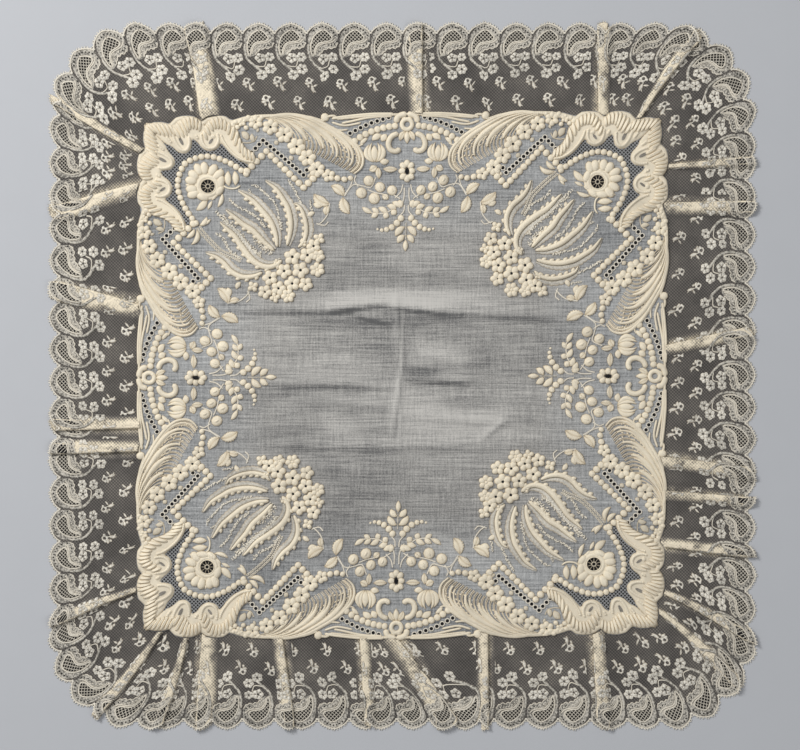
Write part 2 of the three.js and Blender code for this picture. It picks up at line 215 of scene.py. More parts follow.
def panel_outline():
    mirrored = HALF_EDGE[-2:0:-1] * (-1, 1)
    side = np.concatenate([[(-PANEL_CORNER, PANEL_CORNER)], mirrored, HALF_EDGE[:-1]])
    return np.concatenate([turned(side, turn) for turn in range(4)])


def cloth_height(points):
    """How high the cambric lies at places, with its creases."""
    height = np.zeros(len(points))
    for start, end, high, above, below in CREASES:
        start, along = np.array(start, float), np.array(end, float) - start
        length = np.linalg.norm(along)
        share = np.clip((points - start) @ along / length**2, 0, 1)
        offset = points - start - share[:, None] * along
        side = offset @ np.array((-along[1], along[0])) / length
        spread = np.where(side > 0, above, below)
        away = np.linalg.norm(offset, axis=1)
        height += high * np.exp(-((away / spread) ** 2)) * np.sqrt(np.sin(np.pi * share) + 1e-9)
    x, y = points[:, 0], points[:, 1]
    calm = np.clip((150 - np.maximum(abs(x), abs(y))) / 60, 0, 1)
    ripple = np.sin(y * 0.21 + 1.3 * np.sin(x * 0.017)) * np.sin(x * 0.031 + 0.7)
    ripple = ripple + 0.6 * np.sin(y * 0.47 + x * 0.03 + 2) * np.sin(x * 0.05)
    return CLOTH_Z + height + RIPPLE * calm * (1 + ripple)


def notch_line(along):
    past = np.abs(along) - ARC_CENTRE
    turn = np.clip(past, 0, None) / ARC_RADIUS
    x = np.where(past > 0, np.sign(along) * (ARC_CENTRE + ARC_RADIUS * np.sin(turn)), along)
    y = np.where(past > 0, ARC_CENTRE + ARC_RADIUS * np.cos(turn), VALLEY_HALF)
    return np.stack([x, y], axis=-1)


def lace_plan(place, share):
    """Points of the lace in plan, for places round the notch line and shares of the depth."""
    turned_round = np.mod(place + HALF_SIDE_RUN, ROUND)
    side = np.floor(turned_round / SIDE_RUN).astype(int)
    along = turned_round - side * SIDE_RUN - HALF_SIDE_RUN
    outer = notch_line(along)
    past = np.abs(along) - FAN_START
    sewn = np.where(past > 0, np.sign(along) * (FAN_START + past * FAN_RATIO), along)
    corner = np.clip(np.abs(sewn) + SEAM_GAP - PANEL_CORNER, 0, None)
    out = np.interp(np.abs(sewn), HALF_EDGE[:, 0], HALF_EDGE[:, 1]) + SEAM_GAP
    inner = np.stack([sewn + np.sign(sewn) * corner, out], axis=-1)
    points = inner + (outer - inner) * share[..., None]
    laid = np.stack([turned(points, turn) for turn in range(4)])
    return np.take_along_axis(laid, side[None, ..., None], axis=0)[0]


def pleat_line(pleat, share):
    """The centre line of a pleat in section, as in the solid, and the fan's ratio there."""
    _, at, _, outer, inner, lay = pleat
    fan = lerp(FAN_RATIO, 1, share) if abs(at) > FAN_START else 1.0
    reach = (outer + SLOPE_RUN) * fan
    half = min(lerp(inner, outer, share), reach - 1.5)
    straight = half - BEND_REACH
    low = LACE_THICK / 2
    line = np.array([
        (-reach, low),
        (straight, low),
        (half, low + LAYER_PITCH / 2),
        (straight, low + LAYER_PITCH),
        (-straight, low + LAYER_PITCH),
        (-half, low + 1.5 * LAYER_PITCH),
        (-straight, low + 2 * LAYER_PITCH),
        (half + KNEE, low + 2 * LAYER_PITCH),
        (reach, low),
    ])
    if lay < 0:
        line = (line * (-1, 1))[::-1]
    return line, fan


def laid_course():
    """Strip lengths of all the bends, with their places and heights at the seam, foot and notches."""
    pleats = sorted(PLEATS, key=lambda p: (p[0] * SIDE_RUN + p[1]) % ROUND)
    lengths = [0.0]
    rows = {share: [(0.0, LACE_THICK / 2)] for share in (0.0, LACE_FOOT, 1.0)}
    folded = [0.0]
    length = place = 0.0
    for pleat in pleats:
        middle = (pleat[0] * SIDE_RUN + pleat[1]) % ROUND
        reach = pleat[3] + SLOPE_RUN
        line, _ = pleat_line(pleat, 1.0)
        steps = np.linalg.norm(np.diff(line, axis=0), axis=1)
        length += middle - reach - place
        lengths += list(length + np.concatenate([[0], np.cumsum(steps)]))
        length = lengths[-1]
        place = middle + reach
        folded += [0.0] + [1.0] * (len(line) - 2) + [0.0]
        for share, row in rows.items():
            section, fan = pleat_line(pleat, share)
            centre = middle + pleat[2] * (1 - share)
            row += [(centre + across / fan, up) for across, up in section]
    lengths.append(length + ROUND - place)
    folded.append(0.0)
    for row in rows.values():
        row.append((ROUND, LACE_THICK / 2))
    return np.array(lengths), {s: np.array(r) for s, r in rows.items()}, np.array(folded)


COURSE, COURSE_ROWS, FOLDED = laid_course()
STRIP = COURSE[-1]
SCALLOPS = round(STRIP / SCALLOP_PITCH)
PITCH = STRIP / SCALLOPS


def section_at(length, share):
    """Place and height on the lace's middle surface, and their slope along the strip."""
    k = np.clip(np.searchsorted(COURSE, length, side="right"), 1, len(COURSE) - 1)
    t = (length - COURSE[k - 1]) / (COURSE[k] - COURSE[k - 1])
    ends = []
    for index in (k - 1, k):
        seam, foot, notch = (COURSE_ROWS[s][index] for s in (0.0, LACE_FOOT, 1.0))
        low = np.clip(share / LACE_FOOT, 0, 1)[..., None]
        high = np.clip((share - LACE_FOOT) / (1 - LACE_FOOT), 0, 1)[..., None]
        ends.append(lerp(lerp(seam, foot, low), notch, high))
    return lerp(ends[0], ends[1], t[..., None]), ends[1] - ends[0]


def lay_lace(points):
    """Lays points of the flat strip, as length along it, distance out and height, round the panel."""
    length = np.mod(points[:, 0], STRIP)
    share = points[:, 1] / LACE_DEPTH
    section, slope = section_at(length, share)
    plan = lace_plan(section[:, 0], share)
    ahead = lace_plan(section[:, 0] + 0.05, share)
    forward = unit(ahead - plan)
    normal = unit(np.stack([-slope[:, 1], slope[:, 0]], axis=1))
    height = LACE_Z + (section[:, 1] - LACE_THICK / 2) * LACE_RISE
    lifted = points[:, 2]
    flat = settle(plan) + forward * (normal[:, 0] * lifted)[:, None]
    return np.column_stack([flat, height + normal[:, 1] * lifted])


# Small forms, gathered to joined meshes


def distances(line):
    """How far each point of a line is from its start, along it."""
    return np.concatenate([[0], np.cumsum(np.linalg.norm(np.diff(line, axis=0), axis=1))])


def points_at(at, line, run):
    """Points of a line at distances from its start."""
    return np.column_stack([np.interp(at, run, line[:, k]) for k in range(2)])


def round_about(angle):
    """Unit vectors at angles."""
    return np.column_stack([np.cos(angle), np.sin(angle)])


def even_angles(count, start=0.0):
    return start + np.arange(count) * 2 * np.pi / count


class Forms:
    """Gathers small forms as points, triangles and the stitches' own coordinates, in millimetres."""

    def __init__(self):
        self.points = []
        self.faces = []
        self.stitch = []
        self.crest = []
        self.count = 0

    def add(self, points, faces, stitch, crest=None):
        """Adds one form. Its crest runs from 0 at its lowest points to 1 at its highest, and sets where the
        thread's colour takes painted shade.
        """
        points = np.asarray(points, float)
        if crest is None:
            up = points[:, 2] - points[:, 2].min()
            crest = up / up.max() if up.max() > 0.05 else np.ones(len(up))
        self.crest.append(crest)
        self.points.append(points)
        self.faces.append(np.asarray(faces, int) + self.count)
        self.stitch.append(np.asarray(stitch, float))
        self.count += len(points)

    def arrays(self):
        return tuple(np.concatenate(part) for part in (self.points, self.faces, self.stitch, self.crest))

    def repeated(self, moves):
        """A new gathering with a copy for each move, which maps plan points and may mirror them."""
        points, faces, stitch, crest = self.arrays()
        made = Forms()
        for move, mirrored in moves:
            moved = np.column_stack([move(points[:, :2]), points[:, 2]])
            made.add(moved, faces[:, ::-1] if mirrored else faces, stitch, crest)
        return made

    def join(self, other):
        self.add(*other.arrays())


def side_moves(mirror):
    """Copies on all four sides, or on both halves of all four."""
    moves = [(lambda p, s=s: turned(p, s), False) for s in range(4)]
    if mirror:
        moves += [(lambda p, s=s: turned(p * (-1, 1), s), True) for s in range(4)]
    return moves


def grid_faces(rows, columns, closed=False):
    """Triangles between rows of points, each row holding the given number of columns."""
    last = columns if closed else columns - 1
    r, c = np.meshgrid(np.arange(rows - 1), np.arange(last), indexing="ij")
    r, c = r.ravel(), c.ravel()
    a = r * columns + c
    b = r * columns + (c + 1) % columns
    return np.concatenate([
        np.column_stack([a, b, b + columns]),
        np.column_stack([a, b + columns, a + columns]),
    ])


def smooth(points, step, closed=False):
    """An even smooth curve through points."""
    p = np.array(points, float)
    if closed:
        p = np.concatenate([p[-1:], p, p[:2]])
    else:
        p = np.concatenate([[2 * p[0] - p[1]], p, [2 * p[-1] - p[-2]]])
    t = np.linspace(0, 1, 12, endpoint=False)[:, None]
    runs = []
    for a, b, c, d in zip(p[:-3], p[1:-2], p[2:-1], p[3:]):
        bend = 2 * a - 5 * b + 4 * c - d
        twist = 3 * b - a - 3 * c + d
        runs.append(0.5 * (2 * b + (c - a) * t + bend * t**2 + twist * t**3))
    runs.append(p[-2:-1])
    line = np.concatenate(runs)
    run = distances(line)
    count = max(3, int(round(run[-1] / step)) + 1)
    even = np.linspace(0, run[-1], count)
    return points_at(even, line, run)


def sideways(line):
    """Unit vectors to the left of the way along a line."""
    way = unit(np.gradient(line, axis=0))
    return np.column_stack([-way[:, 1], way[:, 0]])


def heading(line):
    """The angle of a line at each of its points."""
    return np.arctan2(*np.gradient(line, axis=0).T[::-1])


ROUND_SECTION = np.array([(-1, 0), (-0.86, 0.5), (-0.5, 0.86), (0, 1), (0.5, 0.86), (0.86, 0.5), (1, 0)])
THREAD_SECTION = np.array([(-1, 0), (0, 1), (1, 0)])


def loft(forms, line, run, across, up):
    """Lays a section over a line: how far to its right and how high each point of each section is."""
    plan = line[:, None, :] - sideways(line)[:, None, :] * across[..., None]
    points = np.concatenate([plan, up[..., None]], axis=2).reshape(-1, 3)
    stitch = np.stack([np.broadcast_to(run[:, None], across.shape), across], axis=2).reshape(-1, 2)
    forms.add(points, grid_faces(*across.shape)[:, ::-1], stitch)


def ridge(forms, line, half, high, section=ROUND_SECTION, draw=1.5, base=0.0):
    """A rounded ridge along a line, drawn in at its ends over the given length."""
    run = distances(line)
    half = np.broadcast_to(half, len(line))
    if draw > 0:
        end = np.clip(np.minimum(run, run[-1] - run) / draw, 0, 1)
        swell = 0.2 + 0.8 * np.sqrt(1 - (1 - end) ** 2)
    else:
        swell = np.ones(len(line))
    across = section[:, 0] * (half * swell)[:, None]
    loft(forms, line, run, across, base + section[:, 1] * high * swell[:, None])


def thread(forms, line, half=0.16, high=0.22, base=0.0):
    ridge(forms, line, half, high, THREAD_SECTION, 0, base)


def bead_template(around, rings):
    rim = round_about(even_angles(around))
    points = [np.column_stack([rim * r, np.full(around, z)]) for r, z in rings]
    points.append([(0, 0, 1)])
    top = around * len(rings)
    last = top - around
    cap = [(last + i, last + (i + 1) % around, top) for i in range(around)]
    return np.concatenate(points), np.concatenate([grid_faces(len(rings), around, True), cap])


BEAD = bead_template(9, ((1.0, 0.0), (0.84, 0.58), (0.46, 0.92)))
SMALL_BEAD = bead_template(6, ((1.0, 0.0), (0.7, 0.78)))


def beads(forms, centres, long, wide, turn=0.0, high=1.0, base=0.0, template=BEAD):
    """Padded domes at centres, each long and wide, turned, and high."""
    centres = np.atleast_2d(np.asarray(centres, float))
    n = len(centres)
    shape, faces = template
    long, wide, turn, high = (np.broadcast_to(v, n).astype(float) for v in (long, wide, turn, high))
    x = shape[None, :, 0] * long[:, None]
    y = shape[None, :, 1] * wide[:, None]
    c, s = np.cos(turn)[:, None], np.sin(turn)[:, None]
    points = np.stack([
        centres[:, :1] + x * c - y * s,
        centres[:, 1:] + x * s + y * c,
        base + shape[None, :, 2] * high[:, None],
    ], axis=2)
    shift = np.arange(n)[:, None, None] * len(shape)
    stitch = np.stack([x, y], axis=2).reshape(-1, 2)
    forms.add(points.reshape(-1, 3), (faces[None] + shift).reshape(-1, 3), stitch)


def bundles(forms, line, half, high, pitch, slant, thick=0.62, template=BEAD):
    """Slanted satin stitch bundles side by side along a line, as on a padded rope."""
    run = distances(line)
    count = max(2, int(round(run[-1] / pitch)))
    at = (np.arange(count) + 0.5) * run[-1] / count
    centre = points_at(at, line, run)
    left = sideways(line)
    way = points_at(at, left, run)
    turn = np.arctan2(way[:, 1], way[:, 0]) + slant
    size = np.interp(at, run, np.broadcast_to(half, len(line)))
    beads(forms, centre, size, pitch * thick, turn, high, template=template)


def leaf(forms, start, end, wide, high=0.9, bow=0.0, groove=0.0, base=0.0, steps=8,
         section=ROUND_SECTION, teeth=0.0):
    """A padded leaf or petal from a foot to a tip, widest in its middle, with an optional groove."""
    start, end = np.array(start, float), np.array(end, float)
    t = np.linspace(0, 1, steps)
    along = end - start
    left = np.array((-along[1], along[0]))
    line = start + along * t[:, None] + left * (bow * 4 * t * (1 - t))[:, None]
    swell = np.maximum(np.sin(np.pi * t), 0.0) ** 0.75
    half = wide / 2 * np.maximum(swell, 0.12) * (1 - teeth * (np.arange(steps) % 2))
    section = section.copy()
    section[len(section) // 2, 1] -= groove
    up = base + section[:, 1] * (high * np.maximum(swell, 0.1))[:, None]
    loft(forms, line, t * np.linalg.norm(along), section[:, 0] * half[:, None], up)


def circle(centre, radius, count=16):
    return np.array(centre) + radius * round_about(np.linspace(0, 2 * math.pi, count))


def ring(forms, centre, radius, half, high, count=14, base=0.0):
    """A corded ring."""
    line = circle(centre, radius, count + 1)[:-1]
    out = unit(line - np.array(centre))
    section = ROUND_SECTION
    across = section[:, 0] * half
    plan = line[:, None, :] + out[:, None, :] * across[None, :, None]
    up = np.broadcast_to(base + section[:, 1] * high, plan.shape[:2])
    points = np.concatenate([plan, up[..., None]], axis=2)
    points = np.concatenate([points, points[:1]]).reshape(-1, 3)
    run = np.linspace(0, 2 * math.pi * radius, count + 1)
    stitch = np.stack([np.broadcast_to(run[:, None], (count + 1, len(section))),
                       np.broadcast_to(across, (count + 1, len(section)))], axis=2).reshape(-1, 2)
    forms.add(points, grid_faces(count + 1, len(section)), stitch)


def disc(forms, centre, radius, base, squash=1.0, turn=0.0, count=10):
    """A flat round patch, such as the dark of an eyelet."""
    rim = circle((0, 0), radius, count + 1)[:-1] * (1, squash)
    c, s = math.cos(turn), math.sin(turn)
    rim = np.column_stack([rim[:, 0] * c - rim[:, 1] * s, rim[:, 0] * s + rim[:, 1] * c]) + np.array(centre)
    points = np.column_stack([np.vstack([rim, [centre]]), np.full(count + 1, base)])
    faces = [(i, (i + 1) % count, count) for i in range(count)]
    forms.add(points, faces, points[:, :2])


def inside(points, outline):
    """Which points lie inside a closed outline."""
    x, y = points[:, 0], points[:, 1]
    found = np.zeros(len(points), bool)
    for (ax, ay), (bx, by) in zip(outline, np.roll(outline, -1, axis=0)):
        crosses = (ay > y) != (by > y)
        with np.errstate(divide="ignore", invalid="ignore"):
            at = ax + (y - ay) * (bx - ax) / (by - ay)
        found ^= crosses & (x < at)
    return found


def cut_patch(outline, step, height):
    """A flat patch inside an outline, in triangles of about the given step."""
    outline = np.asarray(outline, float)
    low, high = outline.min(0), outline.max(0)
    xs = np.arange(low[0] + step / 2, high[0], step)
    ys = np.arange(low[1] + step / 2, high[1], step)
    grid = np.array(np.meshgrid(xs, ys)).reshape(2, -1).T
    grid = grid[inside(grid, outline)]
    near = np.linalg.norm(grid[:, None] - outline[None], axis=2).min(axis=1)
    grid = grid[near > step * 0.35]
    points = [Vector(p) for p in np.concatenate([outline, grid])]
    edges = [(i, (i + 1) % len(outline)) for i in range(len(outline))]
    verts, _, faces, _, _, _ = delaunay_2d_cdt(points, edges, [], 1, 1e-4)
    plan = np.array([tuple(v) for v in verts])
    faces = np.array([f for f in faces if len(f) == 3])
    a, b, c = (plan[faces[:, k]] for k in range(3))
    turn = (b[:, 0] - a[:, 0]) * (c[:, 1] - a[:, 1]) - (b[:, 1] - a[:, 1]) * (c[:, 0] - a[:, 0])
    faces[turn < 0] = faces[turn < 0][:, ::-1]
    return np.column_stack([plan, np.full(len(plan), height)]), faces[np.abs(turn) > 1e-6]


def cushion(forms, outline, high, fall, step):
    """A padded patch inside an outline, rounded down to its edge over the given fall."""
    line = smooth(outline, step, closed=True)[:-1]
    points, faces = cut_patch(line, step, 0.0)
    a, b = line, np.roll(line, -1, axis=0)
    way = b - a
    offset = points[:, None, :2] - a[None]
    share = np.clip((offset * way).sum(2) / np.maximum((way * way).sum(1), 1e-9), 0, 1)
    away = np.linalg.norm(offset - share[..., None] * way, axis=2).min(axis=1)
    points[:, 2] = high * np.sqrt(1 - (1 - np.clip(away / fall, 0, 1)) ** 2)
    forms.add(points, faces, points[:, :2])


def settle(plan):
    """Moves places a little, as the real panel is pulled out of square, less and less over the lace."""
    place = np.clip(plan / SHIFT_REACH, -SHIFT_END, SHIFT_END)
    moved = np.zeros_like(plan)
    for axis in range(2):
        rows = []
        for row in SHIFTS:
            shifts = [spot[axis] for spot in (row[0], *row, row[2])]
            rows.append(np.interp(place[:, 0], (-SHIFT_END, -1, 0, 1, SHIFT_END), shifts))
        up = place[:, 1]
        above, below = np.clip(up, 0, 1), np.clip(-up, 0, 1)
        moved[:, axis] = rows[0] * above + rows[2] * below + rows[1] * (1 - above - below)
    out = np.abs(plan).max(axis=1)
    fade = np.clip((VALLEY_HALF - out) / (VALLEY_HALF - EDGE_START[1]), 0, 1)
    return plan + moved * fade[:, None]


def on_cloth(points):
    """Lifts points that were worked on a flat cloth on to the creased cambric."""
    plan = settle(points[:, :2])
    return np.column_stack([plan, points[:, 2] + cloth_height(plan) + LIGHT_Z])


def make_piece(name, points, faces, material, stitch, weights):
    """A mesh object in metres from points in millimetres, riding on the handkerchief."""
    mesh = bpy.data.meshes.new(name)
    mesh.vertices.add(len(points))
    mesh.vertices.foreach_set("co", (points * 0.001).astype(np.float32).ravel())
    mesh.loops.add(len(faces) * 3)
    mesh.loops.foreach_set("vertex_index", faces.astype(np.int32).ravel())
    mesh.polygons.add(len(faces))
    mesh.polygons.foreach_set("loop_start", np.arange(0, len(faces) * 3, 3, dtype=np.int32))
    mesh.update(calc_edges=True)
    mesh.polygons.foreach_set("use_smooth", np.full(len(faces), True))
    layer = mesh.uv_layers.new(name="stitches")
    layer.data.foreach_set("uv", stitch[faces.ravel()].astype(np.float32).ravel())
    for key, values in weights.items():
        mesh.attributes.new(key, "FLOAT", "POINT").data.foreach_set("value", values.astype(np.float32))
    mesh.materials.append(material)
    piece = bpy.data.objects.new(name, mesh)
    bpy.context.scene.collection.objects.link(piece)
    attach(piece, "root")
    return piece


def stitched_piece(name, forms, material):
    points, faces, stitch, crest = forms.arrays()
    return make_piece(name, on_cloth(points), faces, material, stitch, {"crest": crest})


def fourfold(name, forms, material):
    """A piece with one copy of its forms on each side."""
    stitched_piece(name, forms.repeated(side_moves(False)), material)


def eightfold(name, forms, material):
    """A piece with its forms on both halves of each side."""
    stitched_piece(name, forms.repeated(side_moves(True)), material)


def lace_piece(name, forms, material):
    points, faces, stitch, crest = forms.arrays()
    return make_piece(name, lay_lace(points), faces, material, stitch, {"crest": crest})


# Materials

# How wide one stitch lies, in millimetres
EYELET_STITCH = 0.4
FINE_STITCH = 0.42
STITCH = 0.5
BROAD_STITCH = 0.55

# How deep the materials' relief is, in metres
STITCH_RELIEF = 0.00016
FIBRE_RELIEF = 0.00012
WEAVE_RELIEF = 0.0002
CRINKLE_RELIEF = 0.0012


class Paint:
    """A new material with helpers for its nodes."""

    def __init__(self, name):
        self.material = bpy.data.materials.new(name)
        self.material.use_nodes = True
        self.nodes = self.material.node_tree.nodes
        self.link = self.material.node_tree.links.new
        self.shader = self.nodes["Principled BSDF"]

    def put(self, key, value):
        """Gives one of the shader's inputs a number or a node's output."""
        if isinstance(value, (int, float)):
            self.shader.inputs[key].default_value = value
        else:
            self.link(value, self.shader.inputs[key])

    def math(self, operation, a, b=None):
        node = self.nodes.new("ShaderNodeMath")
        node.operation = operation
        for socket, value in zip(node.inputs, (a, b)):
            if isinstance(value, (int, float)):
                socket.default_value = value
            elif value is not None:
                self.link(value, socket)
        return node.outputs[0]

    def add(self, a, b):
        return self.math("ADD", a, b)

    def multiply(self, a, b):
        return self.math("MULTIPLY", a, b)

    def noise(self, scale, stretch=(1, 1, 1), detail=3.0, rough=0.55):
        """Noise in the piece's own place, stretched along the axes."""
        mapping = self.nodes.new("ShaderNodeMapping")
        mapping.inputs["Scale"].default_value = stretch
        self.link(self.nodes.new("ShaderNodeTexCoord").outputs["Object"], mapping.inputs["Vector"])
        noise = self.nodes.new("ShaderNodeTexNoise")
        for key, value in (("Scale", scale), ("Detail", detail), ("Roughness", rough)):
            noise.inputs[key].default_value = value
        self.link(mapping.outputs["Vector"], noise.inputs["Vector"])
        return noise.outputs["Fac"]

    def ramp(self, factor, stops):
        ramp = self.nodes.new("ShaderNodeValToRGB")
        while len(ramp.color_ramp.elements) < len(stops):
            ramp.color_ramp.elements.new(0.5)
        for element, (at, colour) in zip(ramp.color_ramp.elements, stops):
            element.position = at
            element.color = (*colour, 1)
        self.link(factor, ramp.inputs["Fac"])
        return ramp.outputs["Color"]

    def bump(self, height, strength, distance, under=None):
        bump = self.nodes.new("ShaderNodeBump")
        bump.inputs["Strength"].default_value = strength
        bump.inputs["Distance"].default_value = distance
        self.link(height, bump.inputs["Height"])
        if under is not None:
            self.link(under, bump.inputs["Normal"])
        return bump.outputs["Normal"]

    def attribute(self, name):
        node = self.nodes.new("ShaderNodeAttribute")
        node.attribute_name = name
        return node.outputs["Fac"]

    def tint(self, one, other):
        """One colour multiplied by another."""
        node = self.nodes.new("ShaderNodeVectorMath")
        node.operation = "MULTIPLY"
        self.link(one, node.inputs[0])
        self.link(other, node.inputs[1])
        return node.outputs[0]

    def split(self, source, output):
        """The parts of a place that a node gives."""
        split = self.nodes.new("ShaderNodeSeparateXYZ")
        self.link(source.outputs[output], split.inputs["Vector"])
        return split.outputs


def shade(colour, factor):
    return tuple(min(1.0, c * factor) for c in colour)


def thread_material(name, colour, stitch_pitch, across=False, roughness=0.62, sunk_shade=0.4, mottle=0.2, low=0.8):
    """Soft cotton thread, laid side by side in satin stitch, with painted shade that darkens it where it
    sinks in.
    """
    paint = Paint(name)
    stitches = paint.nodes.new("ShaderNodeUVMap")
    stitches.uv_map = "stitches"
    along = paint.split(stitches, "UV")["Y" if across else "X"]
    wave = paint.math("SINE", paint.multiply(along, 2 * math.pi / stitch_pitch))
    blotch = paint.noise(60, detail=4)
    fine = paint.noise(900, detail=2)
    tone = paint.add(paint.multiply(wave, 0.07), blotch)
    speck = paint.multiply(paint.math("SUBTRACT", fine, 0.5), mottle)
    tone = paint.add(tone, speck)
    stops = ((0.2, shade(colour, low)), (0.5, colour), (0.8, shade(colour, 1.9 - low)))
    # Painted shade: the colour is darkened towards brown at each form's lowest points, where the thread sinks
    # between its neighbours and down to the cloth.
    depth = ((0.0, (sunk_shade, sunk_shade * 0.84, sunk_shade * 0.66)), (0.4, (0.9, 0.87, 0.82)), (0.75, (1, 1, 1)))
    painted_shade = paint.ramp(paint.attribute("crest"), depth)
    base = paint.tint(paint.ramp(tone, stops), painted_shade)
    paint.put("Base Color", base)
    normal = paint.bump(wave, 0.5, STITCH_RELIEF)
    paint.put("Normal", paint.bump(fine, 0.35, FIBRE_RELIEF, normal))
    paint.put("Roughness", roughness)
    paint.put("Sheen Weight", 0.25)
    paint.put("Sheen Roughness", 0.4)
    return paint.material


def cambric_material(settings):
    """Fine uneven plain weave: slubs of warp and weft, with paler and darker patches, and painted light and
    shade on the creases.
    """
    paint = Paint("cambric_weave")
    weft = paint.noise(1.0, (34, 1000, 1), detail=3, rough=0.6)
    warp = paint.noise(1.0, (1000, 60, 1), detail=3, rough=0.6)
    # The tone starts from the slope attribute: painted light and shade on the creases, with the paler and
    # darker patches.
    tone = paint.attribute("slope")
    for noise, weight in (
        (weft, 0.95), (warp, 0.5), (paint.noise(1.0, (7, 17, 1), detail=3), 0.75),
        (paint.noise(22, detail=2), 0.35), (paint.noise(1300, detail=1), 0.6),
    ):
        swing = paint.math("SUBTRACT", noise, 0.5)
        tone = paint.add(tone, paint.multiply(swing, weight))
    dark, light = tuple(settings.cloth_dark), tuple(settings.cloth_light)
    stops = ((0.0, dark), (0.5, tuple(lerp(a, b, 0.5) for a, b in zip(dark, light))), (1.0, light))
    border = paint.ramp(paint.attribute("border"), ((0.0, (1, 0.985, 0.96)), (1.0, (1.0, 1.03, 1.06))))
    lifted = paint.add(paint.multiply(tone, 1.4), 0.5)
    base = paint.tint(paint.ramp(lifted, stops), border)
    paint.put("Base Color", base)
    threads = paint.add(weft, warp)
    opening = paint.multiply(threads, 0.25)
    paint.put("Alpha", paint.add(opening, settings.cloth_cover))
    normal = paint.bump(threads, 0.5, WEAVE_RELIEF)
    paint.put("Normal", normal)
    paint.put("Roughness", 0.75)
    paint.put("Sheen Weight", 0.3)
    paint.put("Sheen Roughness", 0.35)
    return paint.material


def net_lines(paint, pitch):
    """The net's threads, which cross slantwise, with those of one way the stronger."""
    place = paint.split(paint.nodes.new("ShaderNodeTexCoord"), "Object")
    lines = None
    for way, weight in (("ADD", 0.5), ("SUBTRACT", 0.4)):
        across = paint.math(way, place["X"], place["Y"])
        turn = paint.multiply(across, 2000 * math.pi / (pitch * math.sqrt(2)))
        wave = paint.multiply(paint.math("SINE", turn), weight)
        lines = wave if lines is None else paint.add(lines, wave)
    return lines


def ground_material(settings):
    """The lace's net ground seen as a veil, warmer and closer where it is pleated."""
    paint = Paint("lace_net_ground")
    folded = paint.attribute("folded")
    blotch = paint.noise(34, detail=3)
    fine = paint.noise(420, detail=3, rough=0.7)
    worn = paint.math("SUBTRACT", paint.noise(130, detail=4, rough=0.65), 0.33)
    tone = paint.multiply(paint.multiply(folded, worn), 1.7)
    tone = paint.add(tone, paint.multiply(blotch, 0.42))
    crinkle = paint.multiply(fine, paint.add(folded, 0.3))
    tone = paint.add(tone, paint.multiply(crinkle, 0.45))
    net = paint.multiply(net_lines(paint, settings.net_pitch), settings.net_contrast)
    tone = paint.add(tone, net)
    stops = ((0.1, shade(settings.ground_dark, 0.5)), (0.42, shade(settings.ground_dark, 2.3)),
             (0.62, shade(settings.ground_folded, 0.55)), (0.85, tuple(settings.ground_folded)))
    paint.put("Base Color", paint.ramp(tone, stops))
    paint.put("Normal", paint.bump(crinkle, 0.8, CRINKLE_RELIEF))
    cover = paint.multiply(folded, 0.06)
    paint.put("Alpha", paint.add(cover, settings.ground_cover))
    paint.put("Roughness", 0.9)
    return paint.material


def even_paint(name, scale, detail, stops, roughness):
    """A nearly even colour, with a little noise."""
    paint = Paint(name)
    paint.put("Base Color", paint.ramp(paint.noise(scale, detail=detail), stops))
    paint.put("Roughness", roughness)
    return paint


def shadow_material():
    """The dark inside of an eyelet or behind the openwork mesh."""
    stops = ((0.3, (0.012, 0.012, 0.013)), (0.8, (0.03, 0.029, 0.028)))
    paint = even_paint("openwork_shadow", 500, 2, stops, 1.0)
    paint.put("Specular IOR Level", 0.05)
    return paint.material


def slit_material():
    """The brown shade in the rope's slits."""
    stops = ((0.3, (0.15, 0.135, 0.11)), (0.8, (0.34, 0.31, 0.27)))
    return even_paint("slit_shade", 500, 2, stops, 0.9).material


# Settings


def colour_setting(name, description, default):
    return FloatVectorProperty(
        name=name, description=description, subtype="COLOR", size=3, default=default)


def number_setting(name, description, default, low, high, subtype="NONE"):
    return FloatProperty(
        name=name, description=description, default=default, min=low, max=high, subtype=subtype)


class ClothSettings(bpy.types.PropertyGroup):
    cloth_light: colour_setting(
        "Cambric, light", "The cambric where its threads lie close", (0.62, 0.605, 0.575))
    cloth_dark: colour_setting(
        "Cambric, dark", "The cambric where its threads lie open", (0.13, 0.13, 0.13))
    cloth_cover: number_setting(
        "Cambric cover", "How much the cambric covers what is under it", 0.6, 0, 1, "FACTOR")
    cloth_step: number_setting(
        "Cloth step", "Size of the cambric's mesh, in millimetres", 1.8, 1, 10)


class StitchSettings(bpy.types.PropertyGroup):
    thread: colour_setting("Embroidery thread", "Colour of the whitework", (0.92, 0.815, 0.63))
    rope_high: number_setting(
        "Rope height", "How far the padded rope stands up, in millimetres", 1.9, 0.5, 4)
    mesh_thread: colour_setting("Openwork thread", "Colour of the openwork's threads", (0.34, 0.35, 0.36))
    mesh_pitch: number_setting(
        "Openwork pitch", "Distance between the openwork's threads, in millimetres", 1.65, 1, 4)
    bead_high: number_setting(
        "Bead height", "How far the satin beads stand up, in millimetres", 1.3, 0.3, 3)


class LaceSettings(bpy.types.PropertyGroup):
    thread: colour_setting("Lace thread", "Colour of the lace's outlines", (0.87, 0.82, 0.71))
    motif: colour_setting(
        "Lace flowers", "Colour of the lace's small flowers and sprigs", (0.76, 0.72, 0.635))
    clothwork: colour_setting(
        "Lace clothwork", "Colour of the lace's closely worked parts", (0.43, 0.4, 0.345))
    ground_dark: colour_setting("Lace ground", "Colour of the open net", (0.07, 0.063, 0.056))
    ground_folded: colour_setting(
        "Folded lace", "Colour of the net where it lies in layers", (0.9, 0.79, 0.6))
    ground_cover: number_setting(
        "Ground cover", "How much the net covers what is under it", 0.94, 0, 1, "FACTOR")
    net_pitch: number_setting(
        "Net pitch", "Distance between the net's threads, in millimetres", 1.42, 0.8, 4)
    net_contrast: number_setting("Net contrast", "How strongly the net's threads show", 0.2, 0, 1)
    seed: IntProperty(name="Seed", description="Seed of the lace's unevenness", default=7)


